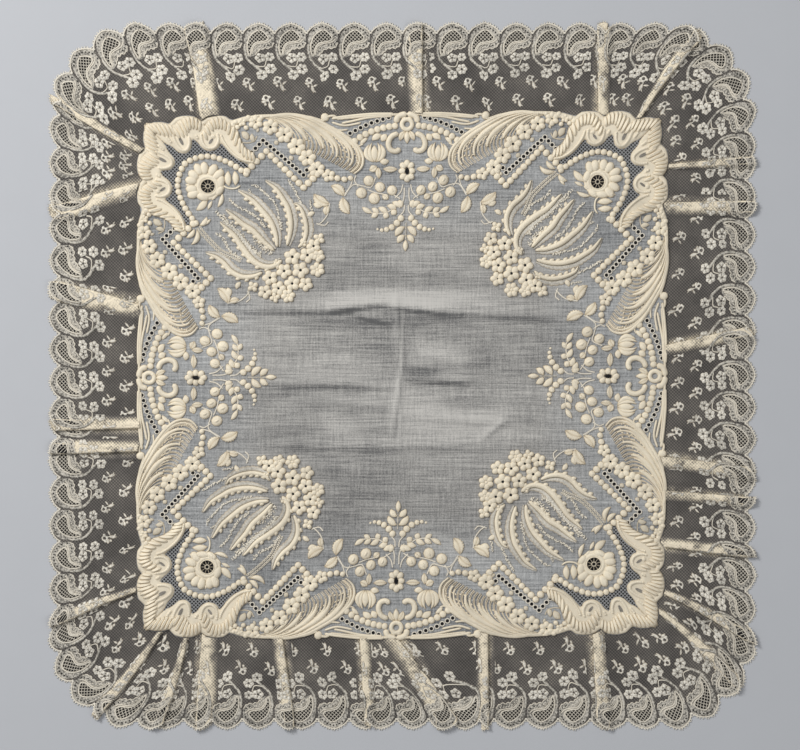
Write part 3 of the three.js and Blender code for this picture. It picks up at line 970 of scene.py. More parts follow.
class StageSettings(bpy.types.PropertyGroup):
    floor: colour_setting("Floor", "Colour of the floor", (0.5, 0.51, 0.53))
    lens: number_setting("Lens", "Focal length of the camera, in millimetres", 120, 35, 300)


# The cambric


def painted_crease_light(place):
    """Painted light and shade: how much paler or darker the cloth's colour is made where its creases turn it
    towards or away from the light.
    """
    right, up = (cloth_height(place + step) - cloth_height(place - step) for step in np.eye(2) * LEAN_REACH)
    return np.clip(0.55 * (0.6 * right - up) / (2 * LEAN_REACH), -0.45, 0.45)


class HANKY_OT_cambric(bpy.types.Operator):
    """Make the sheer cambric panel with its creases"""

    bl_idname = "hanky.cambric"
    bl_label = "Cambric panel"

    def execute(self, context):
        settings = context.scene.hanky_cloth
        outline = panel_outline()
        points, faces = cut_patch(outline, settings.cloth_step, 0.0)
        points[:, :2] = settle(points[:, :2])
        points[:, 2] = cloth_height(points[:, :2])
        place = points[:, :2]
        # Painted light and shade on the creases, to which the paler and darker patches are added.
        slope = painted_crease_light(place)
        for x, y, wide, high, paler in PATCHES:
            away = ((place - (x, y)) / (wide, high)) ** 4
            slope += paler * np.exp(-away.sum(axis=1))
        border = np.clip((np.abs(place).max(axis=1) - BORDER_START) / BORDER_SPREAD, 0, 1)
        panel = make_piece("cambric_cloth", points, faces, cambric_material(settings), place,
                           {"slope": slope, "border": border})
        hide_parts("cambric_panel")
        return {"FINISHED"}


# The padded embroidery, charted for the upper right corner and the right half of the top side

# Its measures, in millimetres
PEARL_PITCH = 3.65
PEARL_RADIUS = 2.08
ZIGZAG_PITCH = 4.0
ZIGZAG_RADIUS = 2.24
EYELET_PITCH = 3.0
SWAG_PITCH = 3.6
EYELET_RADIUS = 1.42
EYELET_CORD = 0.34
EYELET_HOLE = 1.2
INSET_CORD = 0.31
INSET_CENTRE = (125.0, 135.0)
SEED_LONG = 0.78
SEED_WIDE = 0.34
HEM_HALF = 0.85
HEM_HIGH = 0.9
WHIP_PITCH = 1.3

ROPE_OUTLINE = (
    (91.5, 137.6), (94.4, 142.6), (98, 145.4), (101, 150), (102.8, 155.6), (106, 160), (109.6, 163),
    (113.8, 164.8), (118.2, 164.9), (121.6, 162.8), (123.6, 160.2), (126, 163.2), (130, 165.2),
    (135, 165.4), (140, 163.4), (143.6, 160.6), (147, 161), (151.4, 161.2), (156, 161), (160.4, 160.4),
    (149.2, 149.2), (143.8, 146.2), (140, 142.9), (136, 141.8), (132.6, 143.4), (131.2, 147.2),
    (130.8, 150.6), (128.2, 149.4), (124.6, 145.2), (120.6, 143.4), (116.8, 144.2), (114.4, 146),
    (113.6, 148), (111.2, 146), (108.6, 142.4), (104.4, 138.6), (99.6, 136), (95.6, 134.6), (92.4, 135),
)
ROPE_BUNDLES = (  # outer end, inner end, half width
    ((94.4, 142.4), (92.9, 136.6), 1.15), ((96.6, 144), (94.9, 136.6), 1.2),
    ((98.9, 145.6), (97.3, 137.4), 1.25), ((100.6, 148.4), (99.6, 139.4), 1.25),
    ((102, 151.6), (101.9, 142.2), 1.3), ((103.1, 155.6), (104.9, 146.4), 1.3),
    ((105.4, 158.9), (107, 150.2), 1.3), ((108.2, 161.4), (109, 153.6), 1.3),
    ((110.9, 163.2), (110.9, 156.2), 1.25), ((113.5, 164.4), (112.9, 157), 1.2),
    ((116.1, 165), (114.8, 157.2), 1.2), ((118.9, 164.4), (116.6, 157.2), 1.2),
    ((121.2, 162.4), (118, 155.8), 1.2), ((122.9, 159.6), (120, 153.4), 1.2),
    ((124.2, 156.6), (121.8, 150.4), 1.2), ((126, 162.4), (126.6, 156), 1.15),
    ((128.4, 164.2), (128.4, 156.8), 1.2), ((131, 165.2), (130.4, 157.4), 1.2),
    ((133.7, 165.4), (132.2, 156.8), 1.2), ((136.4, 164.9), (133.2, 155), 1.25),
    ((139, 163.6), (134.2, 153), 1.25), ((141.2, 161.6), (136, 151.8), 1.25),
    ((143, 158.6), (138.6, 151.4), 1.2), ((145.4, 160.4), (141.4, 153.2), 1.15),
    ((148, 161), (143.4, 152.2), 1.2), ((150.8, 161.2), (145.8, 152), 1.2),
    ((153.6, 161.2), (148.2, 152.6), 1.2), ((156.4, 161), (150.8, 153.4), 1.2),
    ((159.2, 160.6), (153.4, 154.6), 1.15),
)
ROPE_RIMS = (  # smooth satin margins round the tongues: points, half width
    (((93.4, 136.2), (98.8, 137.2), (104, 140.2), (108.4, 144.6), (111.6, 149.4), (113.2, 153.6)), 1.25),
    (((125.4, 154.4), (124.6, 149.4), (122.6, 146.2), (119.4, 145.2), (116.4, 146.6), (114.8, 150.4),
       (115.4, 154.6)), 1.5),
    (((128.8, 153.6), (127.4, 151.2)), 1.5),
    (((143.4, 154), (141, 148.2), (137.8, 144.3), (134.4, 144.4), (132.8, 148.2), (133, 152.6)), 1.6),
    (((147, 152.6), (144, 148.6)), 1.4),
)
ROPE_SLITS = (((119.4, 149.6), 2.1, 0.8, 2.2), ((138, 149.8), 2.9, 1.0, 1.1))  # centre, long, wide, turn
PEARL_ARCH = (
    (98, 128.8), (103.5, 133), (109.6, 136.6), (115.5, 139), (121, 140.2), (127, 139.6), (132, 137.8),
    (135.6, 135.6),
)
INSET_OUTER = ((96, 133), (104, 142), (113, 152), (121, 149), (130.4, 154), (138, 148), (151, 151))
ZIGZAG = ((97.6, 130.6), (85.6, 142.9), (63, 119.8), (57.3, 125.4))
EYELET_ZIGZAG = ((94.6, 142.4), (87.7, 149.8), (63, 127.7), (61, 130.8))
EYELET_SWAG = ((11.2, 163.3), (23.5, 159.3), (34.7, 153.6))
CHAIN_FLORETS = (  # x, y, size, petals, eye
    (100.6, 161.4, 2.9, 5, 0.0), (92.2, 161.4, 4.7, 6, 0.35), (83.2, 158.2, 5.1, 6, 0.6),
    (74.8, 153.2, 5.3, 6, 0.6), (67.3, 145.7, 5.7, 6, 0.65), (60.7, 138.6, 5.5, 6, 0.55),
    (55.1, 131.2, 5.2, 7, 0.6), (47.8, 127.2, 4.2, 5, 0.3),
)
CHAIN_BEADS = (
    (42.4, 125.4, 2.2), (38.2, 124.7, 2.1), (34.4, 125.4, 1.9), (106.2, 160, 2.1), (96.6, 164.4, 1.8),
    (98, 157.9, 1.7), (103.4, 158.4, 1.8), (104.2, 161.8, 1.7), (88.4, 164.6, 1.7),
)
CLUSTER_FLORETS = (  # x, y, size, petals, eye
    (76, 69.5, 5.4, 5, 1.25), (77, 60.2, 5.2, 5, 0.95), (82.7, 56.5, 4.6, 5, 0.6), (67.1, 74.5, 5, 5, 0.8),
    (67.5, 64.4, 5.4, 5, 1.1), (62.9, 83.2, 5, 5, 0.9), (59.1, 69.5, 5, 5, 1), (56.1, 77.9, 4.8, 5, 0.6),
    (54, 86.3, 4.6, 5, 0.45), (58.6, 61.1, 4.6, 5, 0.3), (87.3, 53.2, 3.8, 4, 0), (76.4, 53.5, 4.2, 5, 0),
    (67.8, 54.1, 4.8, 6, 0), (50.4, 80.1, 3.4, 4, 0), (51.5, 72, 4.6, 6, 0), (57.4, 93.7, 3.6, 4, 0),
    (72.6, 78.8, 2.4, 4, 0), (84.4, 62.8, 2.4, 4, 0),
)
PLUMES = (  # the midrib from the foot to the tip, half widths of the padded rib and of the pale half
    (((81.3, 65.5), (85.1, 61.7), (91.6, 59.8), (98.1, 60.3), (104.1, 62.2), (108.4, 64.9),
       (110.1, 68.7)), 0.95, 1.5),
    (((82.9, 72), (90.5, 69.8), (98.1, 69.2), (106.8, 70.9), (112.8, 74.1), (119.8, 79),
       (124.7, 86.3)), 1.15, 1.5),
    (((82.4, 77.9), (90.5, 78.5), (99.2, 81.7), (106.3, 87.1), (113.3, 93.7), (118.7, 102.9)), 1.2, 1.45),
    (((80.8, 80.1), (86.7, 86.1), (93.8, 92.6), (98.1, 99.1), (102.5, 104.5), (106.8, 110.5)), 1.2, 1.5),
    (((75, 76.6), (72.4, 80), (71.4, 84), (72.6, 88.8), (76.4, 93.7), (83.5, 99.1), (91.1, 104.5),
       (98.9, 114)), 1.35, 1.45),
    (((67.2, 88.2), (65.3, 93.7), (65.3, 100.2), (68.3, 106.1), (73.7, 111), (77.5, 116.4),
       (79.4, 122.9)), 1.15, 1.5),
)
FEATHERS = (  # lines of loose seed stitches, and how far they spread
    (((122, 93.7), (118.2, 88.2), (112.8, 82.8), (107.9, 79.6), (103, 78.5), (93.8, 76.3)), 0.7),
    (((124.2, 72), (119.3, 69.2), (114.4, 66.5), (109.5, 64.4)), 0.5),
    (((112.8, 108.3), (108.4, 103.4), (105.2, 96.9), (101.4, 91.5), (95, 86.4)), 0.6),
    (((104.1, 115.4), (99.2, 110.5), (93.8, 104.5), (88.9, 100.7), (82.4, 95.8), (78, 89)), 1.5),
    (((91.6, 117), (89.4, 113.2), (85.1, 110.5), (80.2, 107.8), (75.6, 102)), 0.7),
    (((88, 92), (83.4, 87.4), (79.4, 82.6)), 2.0),
    (((111, 59), (105.7, 57.9)), 0.6),
    (((118.8, 96.2), (113.4, 91.8), (109.6, 88.4)), 0.4),
)
PLUME_STEP = 0.75
TOOTH_PITCH = 4.9
BRAID = ((95.4, 127.4), (90.6, 123.6), (85.4, 119), (79.4, 112.6), (76.2, 104.8), (74, 101))
FLOWER_CENTRE = (121.3, 121.3)
FLOWER_PETALS = (  # where each padded lobe lies from the eye, how long, how wide and its turn
    (-5.2, 9.6, 3.4, 2.6, 1.9), (-1.8, 10.6, 3.3, 2.6, 1.5), (3.9, 11, 3.3, 2.6, 1.4),
    (7.6, 9.4, 3.3, 2.6, 0.9), (11.4, 6.2, 3.5, 2.4, 0.5), (12, 2.2, 3.6, 2.4, 0.1),
    (10.8, -3.2, 3.5, 2.5, -0.5), (7.8, -6.8, 3.4, 2.5, -0.9), (3, -8.4, 3.8, 2.2, -0.1),
    (-3, -7.6, 3.2, 2, -0.6), (-7.2, 3.6, 3.6, 2.2, 1.2),
)
FLOWER_LEAVES = (  # foot, tip, width, height, bow
    ((130.8, 108.9), (121.2, 108.3), 4.4, 1.3, -0.05), ((130.8, 105.1), (121.6, 104.5), 4.2, 1.3, 0.05),
    ((116.8, 112.6), (108, 115.4), 2.8, 1.2, 0.1), ((116, 116), (112.4, 119), 2, 0.8, 0),
    ((113.6, 122), (106.2, 128.6), 4.6, 1, 0.1), ((112, 118.8), (106.6, 121.4), 2.2, 0.8, 0),
    ((93.8, 128.4), (84.4, 131.8), 3.4, 1.3, 0.22), ((94.4, 129.8), (88.8, 135), 3.2, 1.3, 0.15),
    ((96.6, 126.6), (102, 122.2), 3.4, 1.3, -0.2), ((132.8, 112.8), (129.2, 116.4), 2, 0.8, 0.1),
    ((121.8, 131.8), (122.4, 135.4), 1.8, 0.7, 0), ((100.4, 119.6), (96.8, 123.4), 2, 0.9, 0),
)
NOOK_LEAVES = (  # the small leaves in the nook between rope and florets
    ((97, 150), (100.8, 155.4), 4.4, 1, 0.1), ((93, 148.8), (94.4, 154.2), 3.2, 1, -0.1),
    ((91.4, 155), (90.4, 157.8), 1.9, 0.8, 0), ((78.6, 147), (80.6, 149.6), 3, 0.9, 0),
    ((69.6, 137.2), (71.6, 140), 3, 0.9, 0), ((60.6, 126), (58.8, 128.4), 2, 0.8, 0),
)


class HANKY_OT_rope(bpy.types.Operator):
    """Make the padded rope that runs in lobes and tongues round each corner"""

    bl_idname = "hanky.rope"
    bl_label = "Rope edge"

    def execute(self, context):
        settings = context.scene.hanky_stitch
        high = settings.rope_high
        base, twists, slits = Forms(), Forms(), Forms()
        cushion(base, ROPE_OUTLINE, high * 0.45, fall=2.2, step=1.3)
        for path, half in ROPE_RIMS:
            line = smooth(path, 0.8)
            ridge(base, line, half * 0.8, high * 0.86)
            bundles(twists, line, half * 0.84, high * 0.9, pitch=1.5, slant=0.9, thick=0.66)
        beads(base, [(118.2, 152.6)], 2.0, 1.8, 0.5, high * 0.85)
        for outer, inner, half in ROPE_BUNDLES:
            outer, inner = np.array(outer), np.array(inner)
            middle, span = (outer + inner) / 2, inner - outer
            length = np.linalg.norm(span)
            turn = math.atan2(span[1], span[0])
            side = np.array((-span[1], span[0])) / length * 0.34
            lift = high * 0.36
            beads(twists, [middle], length / 2 + 0.5, half * 0.98, turn, high * 0.78, lift)
            beads(twists, [middle + side], length / 2 * 0.9, half * 0.4, turn, high * 0.9, lift)
        for centre, long, wide, turn in ROPE_SLITS:
            disc(slits, centre, long, high * 0.6, wide / long, turn)
        colour = tuple(settings.thread)
        eightfold("rope_ground", base, thread_material("rope_satin", shade(colour, 0.94), STITCH))
        eightfold("rope_edge", twists, thread_material("rope_thread", colour, STITCH, across=True))
        eightfold("rope_slits", slits, slit_material())
        return {"FINISHED"}


class HANKY_OT_inset(bpy.types.Operator):
    """Make the openwork mesh between the rope and the row of beads"""

    bl_idname = "hanky.inset"
    bl_label = "Openwork inset"

    def execute(self, context):
        settings = context.scene.hanky_stitch
        outer = smooth(INSET_OUTER, 1.5)
        inner = smooth(PEARL_ARCH, 1.5)
        outline = np.concatenate([outer, outer[::-1, ::-1][1:], inner[:, ::-1], inner[::-1][1:]])
        shadow = Forms()
        points, faces = cut_patch(outline, 4.0, 0.0)
        shadow.add(points, faces, points[:, :2])
        fourfold("inset_shadow", shadow, shadow_material())
        mesh = Forms()
        for way in ((1, 1), (1, -1)):
            across = np.array((-way[1], way[0])) / math.sqrt(2)
            along = np.array(way) / math.sqrt(2)
            for k in np.arange(-80, 80):
                line = np.array(INSET_CENTRE) + across * k * settings.mesh_pitch
                line = line + along * np.arange(-60, 60, 0.8)[:, None]
                kept = inside(line, outline)
                ends = np.flatnonzero(np.diff(np.concatenate([[0], kept.astype(int), [0]])))
                for a, b in zip(ends[::2], ends[1::2]):
                    if b - a > 2:
                        thread(mesh, line[a:b][::2] if b - a > 5 else line[a:b], INSET_CORD, 0.3)
        material = thread_material("inset_thread", tuple(settings.mesh_thread), STITCH)
        fourfold("inset_mesh", mesh, material)
        return {"FINISHED"}


def along_line(line, pitch):
    """Points at an even pitch along a line."""
    run = distances(line)
    count = max(1, int(round(run[-1] / pitch)))
    at = np.linspace(0, run[-1], count + 1)
    return points_at(at, line, run)


def corners_and_runs(path, pitch):
    """Points at an even pitch along a bent path, with one on each bend."""
    runs = [along_line(np.array(path[i : i + 2], float), pitch) for i in range(len(path) - 1)]
    return np.concatenate([runs[0]] + [run[1:] for run in runs[1:]])


class HANKY_OT_beads(bpy.types.Operator):
    """Make the rows of satin stitch beads"""

    bl_idname = "hanky.beads"
    bl_label = "Bead rows"

    def execute(self, context):
        settings = context.scene.hanky_stitch
        rng = np.random.default_rng(3)
        forms = Forms()
        arch = along_line(smooth(PEARL_ARCH, 0.8), PEARL_PITCH)
        zigzag = corners_and_runs(ZIGZAG, ZIGZAG_PITCH)
        for centres, radius in ((arch, PEARL_RADIUS), (zigzag, ZIGZAG_RADIUS)):
            size = radius * rng.uniform(1.0, 1.13, len(centres))
            beads(forms, centres, size, size * 0.93, rng.uniform(0.3, 1.1, len(centres)), settings.bead_high)
        material = thread_material("bead_thread", tuple(settings.thread), FINE_STITCH)
        eightfold("bead_rows", forms, material)
        return {"FINISHED"}


class HANKY_OT_eyelets(bpy.types.Operator):
    """Make the rows of worked eyelets with their dark holes"""

    bl_idname = "hanky.eyelets"
    bl_label = "Eyelet rows"

    def execute(self, context):
        settings = context.scene.hanky_stitch
        rims, holes = Forms(), Forms()
        swag = along_line(smooth(EYELET_SWAG, 1.0), SWAG_PITCH)
        for centre in np.concatenate([corners_and_runs(EYELET_ZIGZAG, EYELET_PITCH), swag]):
            ring(rims, centre, EYELET_RADIUS, EYELET_CORD, 0.5, 12)
            disc(holes, centre, EYELET_HOLE, 0.08)
        material = thread_material("eyelet_thread", (0.88, 0.82, 0.7), EYELET_STITCH, sunk_shade=0.8)
        eightfold("eyelet_rims", rims, material)
        eightfold("eyelet_holes", holes, shadow_material())
        return {"FINISHED"}


def floret(forms, holes, centre, size, petals, eye, high, turn):
    """A little flower of round padded petals about an eye."""
    petal = size * (0.43 if petals > 5 else 0.47)
    angle = even_angles(petals, turn)
    at = np.array(centre) + (size - petal) * round_about(angle)
    beads(forms, at, petal * 1.08, petal * 0.97, angle, high)
    if eye > 0:
        ring(forms, centre, eye + 0.3, 0.35, high * 0.6, 10)
        disc(holes, centre, eye + 0.14, high * 0.62, 1.0, turn)
    else:
        beads(forms, [centre], petal * 0.7, petal * 0.7, 0, high * 0.8)


class HANKY_OT_florets(bpy.types.Operator):
    """Make the chains and clusters of little flowers"""

    bl_idname = "hanky.florets"
    bl_label = "Florets"

    def execute(self, context):
        settings = context.scene.hanky_stitch
        rng = np.random.default_rng(11)
        material = thread_material("floret_thread", tuple(settings.thread), FINE_STITCH)
        chain, chain_holes = Forms(), Forms()
        for x, y, size, petals, eye in CHAIN_FLORETS:
            floret(chain, chain_holes, (x, y), size, petals, eye, settings.bead_high, rng.uniform(0, 1))
        for x, y, radius in CHAIN_BEADS:
            beads(chain, [(x, y)], radius, radius * 0.93, 0.7, settings.bead_high)
        cluster, cluster_holes = Forms(), Forms()
        for x, y, size, petals, eye in CLUSTER_FLORETS:
            turn = rng.uniform(0, 1.2)
            floret(cluster, cluster_holes, (x, y), size, petals, eye, settings.bead_high * 1.1, turn)
        eightfold("floret_chains", chain, material)
        fourfold("floret_clusters", cluster, material)
        holes = chain_holes.repeated(side_moves(True))
        holes.join(cluster_holes.repeated(side_moves(False)))
        stitched_piece("floret_eyes", holes, shadow_material())
        return {"FINISHED"}


SHELL_OUTER = (
    (87.6, 164.6), (72, 166), (57, 163), (46.4, 157.6), (37.7, 152.4), (31.4, 147.2), (27.2, 141.6),
    (26, 136), (27.4, 131.4), (31.6, 127.6),
)
SHELL_INNER = (
    (88.6, 163.8), (86.4, 163.6), (84, 162.8), (81.8, 161.6), (79.8, 160), (78.2, 158.2), (77, 156.4),
    (76, 154.6), (75.2, 152.8), (74.6, 151),
)
SHELL_BANDS = (  # how far in, half width, height, from, to, of the arc
    (0.015, 1.3, 1.05, 0.0, 1.0), (0.06, 1.3, 0.65, 0.4, 1.0), (0.14, 1.7, 1.2, 0.1, 0.97),
    (0.185, 1.1, 0.65, 0.4, 0.94), (0.33, 1.9, 1.25, 0.1, 0.94), (0.38, 1.2, 0.65, 0.4, 0.9),
    (0.5, 1.7, 1.15, 0.1, 0.9), (0.545, 1.0, 0.6, 0.4, 0.86), (0.7, 1.5, 1.0, 0.12, 0.86),
    (0.85, 1.1, 0.8, 0.15, 0.8),
)


def part_of(line, start, end):
    count = len(line)
    return line[int(start * (count - 1)) : int(end * (count - 1)) + 1]


class HANKY_OT_shells(bpy.types.Operator):
    """Make the shell fans: curved satin bands with fine darned threads and seed stitches between them"""

    bl_idname = "hanky.shells"
    bl_label = "Shell fans"

    def execute(self, context):
        settings = context.scene.hanky_stitch
        rng = np.random.default_rng(17)
        outer, inner = np.array(SHELL_OUTER), np.array(SHELL_INNER)
        ribs, fine, seeds = Forms(), Forms(), Forms()
        for t, half, high, start, end in SHELL_BANDS:
            line = part_of(smooth(lerp(outer, inner, t), 1.1), start, end)
            narrow = 0.3 + 0.7 * np.exp(-(((np.linspace(start, end, len(line)) - 0.66) / 0.19) ** 2))
            if start == 0:
                narrow = np.sin(np.linspace(0.25, 3.05, len(line))) ** 0.5
            ridge(ribs, line, half * narrow, high)
            if half > 1.2:
                satin = half * 1.02 * narrow
                bundles(ribs, line, satin, high * 1.1, 1.35, 0.7, thick=0.6, template=SMALL_BEAD)
        for i, t in enumerate(np.linspace(0.035, 0.98, 20)):
            line = smooth(lerp(outer, inner, t), 1.5)
            line = part_of(line, 0.12 + 0.05 * (i % 3), 1.0)
            for away in (-0.32, 0.32):
                thread(fine, line + away + rng.normal(0, 0.05, line.shape), 0.22, 0.5)
        for t in np.linspace(0.05, 0.68, 20):
            line = part_of(smooth(lerp(outer, inner, t), 1.5), 0.2, 0.94)
            at = line + rng.normal(0, 0.3, line.shape)
            at = at[rng.uniform(0, 1, len(at)) < 0.5 - 0.42 * t]
            beads(seeds, at, 0.9, 0.5, rng.uniform(0.2, 1.2, len(at)), 0.5, template=SMALL_BEAD)
        material = thread_material("shell_thread", shade(settings.thread, 0.98), FINE_STITCH, sunk_shade=0.62)
        eightfold("shell_ribs", ribs, material)
        darning = thread_material("darning_thread", shade(settings.thread, 0.98), STITCH, sunk_shade=0.92)
        eightfold("shell_darning", fine, darning)
        eightfold("shell_seeds", seeds, darning)
        return {"FINISHED"}


def strip_between(forms, low, high_edge, up_low, up_high):
    """A thin satin patch between two lines of as many points."""
    count = len(low)
    middle = (low + high_edge) / 2
    points = np.concatenate([
        np.column_stack([low, np.full(count, up_low)]),
        np.column_stack([middle, np.full(count, up_high)]),
        np.column_stack([high_edge, np.full(count, 0.05)]),
    ])
    run = np.arange(count) * np.linalg.norm(low[1] - low[0])
    stitch = np.concatenate([np.column_stack([run, np.full(count, float(row))]) for row in range(3)])
    forms.add(points, grid_faces(3, count)[:, ::-1], stitch)


class HANKY_OT_plumes(bpy.types.Operator):
    """Make the curved leaves with a padded rib, teeth and a pale half, and the seed stitches between them"""

    bl_idname = "hanky.plumes"
    bl_label = "Plumes"

    def execute(self, context):
        settings = context.scene.hanky_stitch
        rng = np.random.default_rng(5)
        ribs, pale, lines, seeds = Forms(), Forms(), Forms(), Forms()
        for path, rib, half in PLUMES:
            line = smooth(path, PLUME_STEP)
            left = sideways(line)
            t = np.linspace(0, 1, len(line))
            width = 1.32 * rib * np.sin(np.pi * (0.1 + 0.9 * t)) ** 0.55 + 0.12
            flat = half * 2.3 * np.sin(np.pi * (0.06 + 0.9 * t)) ** 0.75
            ridge(ribs, line + left * width[:, None], width * 1.08, 1.5, draw=2.5)
            notch = 1 - 0.16 * (np.arange(len(line)) % 4 == 0)
            strip_between(pale, line - left * (flat * notch)[:, None], line, 0.06, 0.5)
            # Painted shade: a thin ridge, coloured dark brown, stands for the shade along the midrib between
            # the padded rib and the pale half.
            thread(lines, line[: int(len(line) * 0.94)], 0.22, 0.62)
            for at in np.arange(3.6, len(line) * PLUME_STEP * 0.86, TOOTH_PITCH):
                k = int(at / PLUME_STEP)
                way = np.array((left[k][1], -left[k][0]))
                foot = line[k] + left[k] * width[k] * 1.5
                tip = foot + left[k] * 2.1 + way * 2.9
                leaf(ribs, foot - left[k] * 0.8, tip, 2.9, 1.25, steps=6)
        for path, spread in FEATHERS:
            line = smooth(path, 0.62)
            for _ in range(1 + int(spread * 2)):
                at = line + rng.normal(0, spread * 0.6, line.shape)
                at = at[rng.uniform(0, 1, len(at)) < 0.75]
                turn = rng.uniform(0, np.pi, len(at))
                beads(seeds, at, SEED_LONG, SEED_WIDE, turn, 0.55, template=SMALL_BEAD)
        braid = smooth(BRAID, 0.6)
        side = sideways(braid)
        swing = np.sin(np.arange(len(braid)) * 1.25)[:, None] * 0.62
        for sign, away in ((1, 0.8), (-1, 0.8), (1, -0.8), (-1, -0.8)):
            thread(seeds, braid + side * (1.2 * away + sign * swing), 0.26, 0.44)
        material = thread_material("plume_thread", tuple(settings.thread), FINE_STITCH)
        fourfold("plume_ribs", ribs, material)
        satin = thread_material("plume_satin", (0.64, 0.6, 0.52), BROAD_STITCH, sunk_shade=0.75,
                                mottle=0.9, low=0.6)
        fourfold("plume_halves", pale, satin)
        # The dark brown of the midrib's painted shade.
        midrib = thread_material("midrib_painted_shade", shade(settings.thread, 0.36), STITCH)
        fourfold("plume_midrib_shade", lines, midrib)
        seed = thread_material("seed_thread", (0.9, 0.84, 0.71), STITCH, sunk_shade=0.85)
        fourfold("seed_stitches", seeds, seed)
        return {"FINISHED"}


class HANKY_OT_corner_flowers(bpy.types.Operator):
    """Make the flower in each corner, with its needlework wheel, its collar and small leaves"""

    bl_idname = "hanky.corner_flowers"
    bl_label = "Corner flowers"

    def execute(self, context):
        settings = context.scene.hanky_stitch
        petals, nooks, eyes, wheels = Forms(), Forms(), Forms(), Forms()
        centre = np.array(FLOWER_CENTRE)
        for x, y, long, wide, turn in FLOWER_PETALS:
            beads(petals, [centre + np.array((x, y)) * 0.94], long * 1.25, wide * 1.16, turn, 1.7)
        ring(petals, centre, 7.2, 1.6, 0.7, 28)
        ridge(petals, smooth(((122, 112.4), (120, 109.2), (119.8, 104.4), (121.6, 101.4)), 1.0), 0.6, 0.8)
        ring(petals, centre, 5.9, 1.5, 1.25, 26)
        ring(petals, centre, 4.6, 0.45, 1.3, 24)
        disc(eyes, centre, 4.5, 0.1, count=20)
        ring(wheels, centre, 1.35, 0.34, 0.6, 12, base=0.15)
        for way in round_about(even_angles(10)):
            thread(wheels, centre + way * np.linspace(1.4, 4.5, 3)[:, None], 0.17, 0.3, 0.15)
        for foot, tip, wide, high, bow in FLOWER_LEAVES:
            leaf(petals, foot, tip, wide, high, bow)
        for foot, tip, wide, high, bow in NOOK_LEAVES:
            leaf(nooks, foot, tip, wide, high, bow, groove=0.15)
        thread(nooks, smooth(((100.6, 148.8), (97, 148.4), (93, 149.6), (91.4, 152.6)), 1.0), 0.4, 0.4)
        colour = tuple(settings.thread)
        material = thread_material("flower_thread", colour, FINE_STITCH)
        fourfold("corner_flowers", petals, material)
        eightfold("nook_leaves", nooks, thread_material("nook_thread", shade(colour, 0.8), FINE_STITCH))
        fourfold("corner_flower_eyes", eyes, shadow_material())
        wheel = thread_material("wheel_thread", shade(colour, 0.75), FINE_STITCH)
        fourfold("corner_flower_wheels", wheels, wheel)
        return {"FINISHED"}


SPRAY_LEAVES = (  # foot, tip, width, height, bow
    ((16.6, 135.6), (11.4, 136), 2.8, 1.2, 0.05), ((14.6, 131), (6.6, 130.8), 3.4, 1.3, 0.03),
    ((17.6, 132), (17.2, 125.4), 3.2, 1.2, 0), ((18.6, 133), (22.8, 130.6), 4, 1, -0.1),
    ((12.4, 152.8), (15.2, 148.6), 3, 1.1, 0.05), ((15.4, 152.4), (20.8, 149.2), 3, 1.1, 0.1),
    ((11.2, 111.8), (14.4, 114.6), 3.6, 1.2, 0), ((38.4, 114.2), (45.6, 120.2), 5.2, 1.3, 0.12),
    ((38.8, 113.4), (35, 103.8), 5.6, 1.3, 0.12), ((46.8, 109.2), (55.8, 115.2), 5.6, 1.3, -0.14),
    ((48.4, 108.2), (49.4, 102.8), 3.6, 1.2, 0), ((51.6, 107.6), (56.6, 109.4), 2.8, 1, 0),
    ((2.8, 106.6), (4.4, 111), 2.6, 1.1, 0), ((3.4, 106.6), (8.4, 109.6), 2.6, 1.1, 0.1),
    ((6.2, 105.4), (11.4, 107.4), 2.6, 1.1, 0.1), ((6.2, 105), (8.8, 102.2), 2.8, 1.1, 0),
    ((11.6, 102.8), (16.8, 106.2), 2.5, 1.1, 0.1), ((11.6, 103.4), (13, 99.8), 2.6, 1.1, 0),
    ((17, 102.6), (21, 105.8), 2.3, 1.1, 0.1), ((17.2, 103), (21, 100.6), 2.3, 1.1, 0),
    ((20.8, 103.2), (26.6, 106.8), 2.2, 1.1, -0.05), ((0.7, 94.2), (5.8, 88.8), 3, 1.3, 0.12),
    ((0.6, 88.8), (4.4, 84.4), 2.8, 1.3, 0.12), ((1, 154.6), (4, 149), 3.2, 1.2, 0.1),
    ((24, 150.4), (28, 146.4), 1.9, 0.8, 0.1), ((56, 104), (60, 101.4), 2.2, 1, 0.1),
)
SPRAY_BERRIES = (  # x, y, radius
    (23.3, 123.6, 3.35), (16.4, 119.5, 3.25), (9, 117.4, 3.2), (27.7, 116, 3.5), (19.8, 112.4, 3.6),
    (3.2, 99.7, 1.9), (5.6, 96.7, 1.95), (8.7, 94.1, 1.8), (11.9, 92.7, 1.5), (14.8, 92.3, 1.1),
    (17.4, 92.9, 0.7), (50, 163.9, 2.4), (31.9, 148.6, 2.0), (28.6, 151, 2.0), (25.2, 153, 2.0),
    (21.6, 154.6, 2.0), (18, 155.9, 2.0), (14.4, 156.9, 2.0), (10.8, 157.6, 2.0), (7.4, 158, 1.9),
)
SPRAY_CORDS = (  # points, half width, height
    (((8, 165.6), (22, 165.6), (38, 164.2), (46, 163)), 0.9, 1.0),
    (((9, 164.2), (22, 163.6), (34, 161.2), (40, 160)), 0.75, 0.8),
    (((28, 160.2), (38, 158.6), (46, 160.8)), 0.7, 0.8),
    (((36, 156), (42, 155.8), (48, 158.6)), 0.6, 0.7),
    (((5.2, 153.4), (9.4, 151.4), (11.4, 147.2), (10.2, 143.2), (6.8, 142), (4, 143.8)), 1.75, 1.5),
    (((6.8, 159.8), (5.8, 163.4), (3, 165.0), (0, 165.4)), 1.9, 1.3),
    (((3.4, 162.2), (0, 163.2)), 0.9, 1.0),
    (((36.6, 150.4), (30, 146), (26.4, 146.8)), 0.5, 0.6),
)
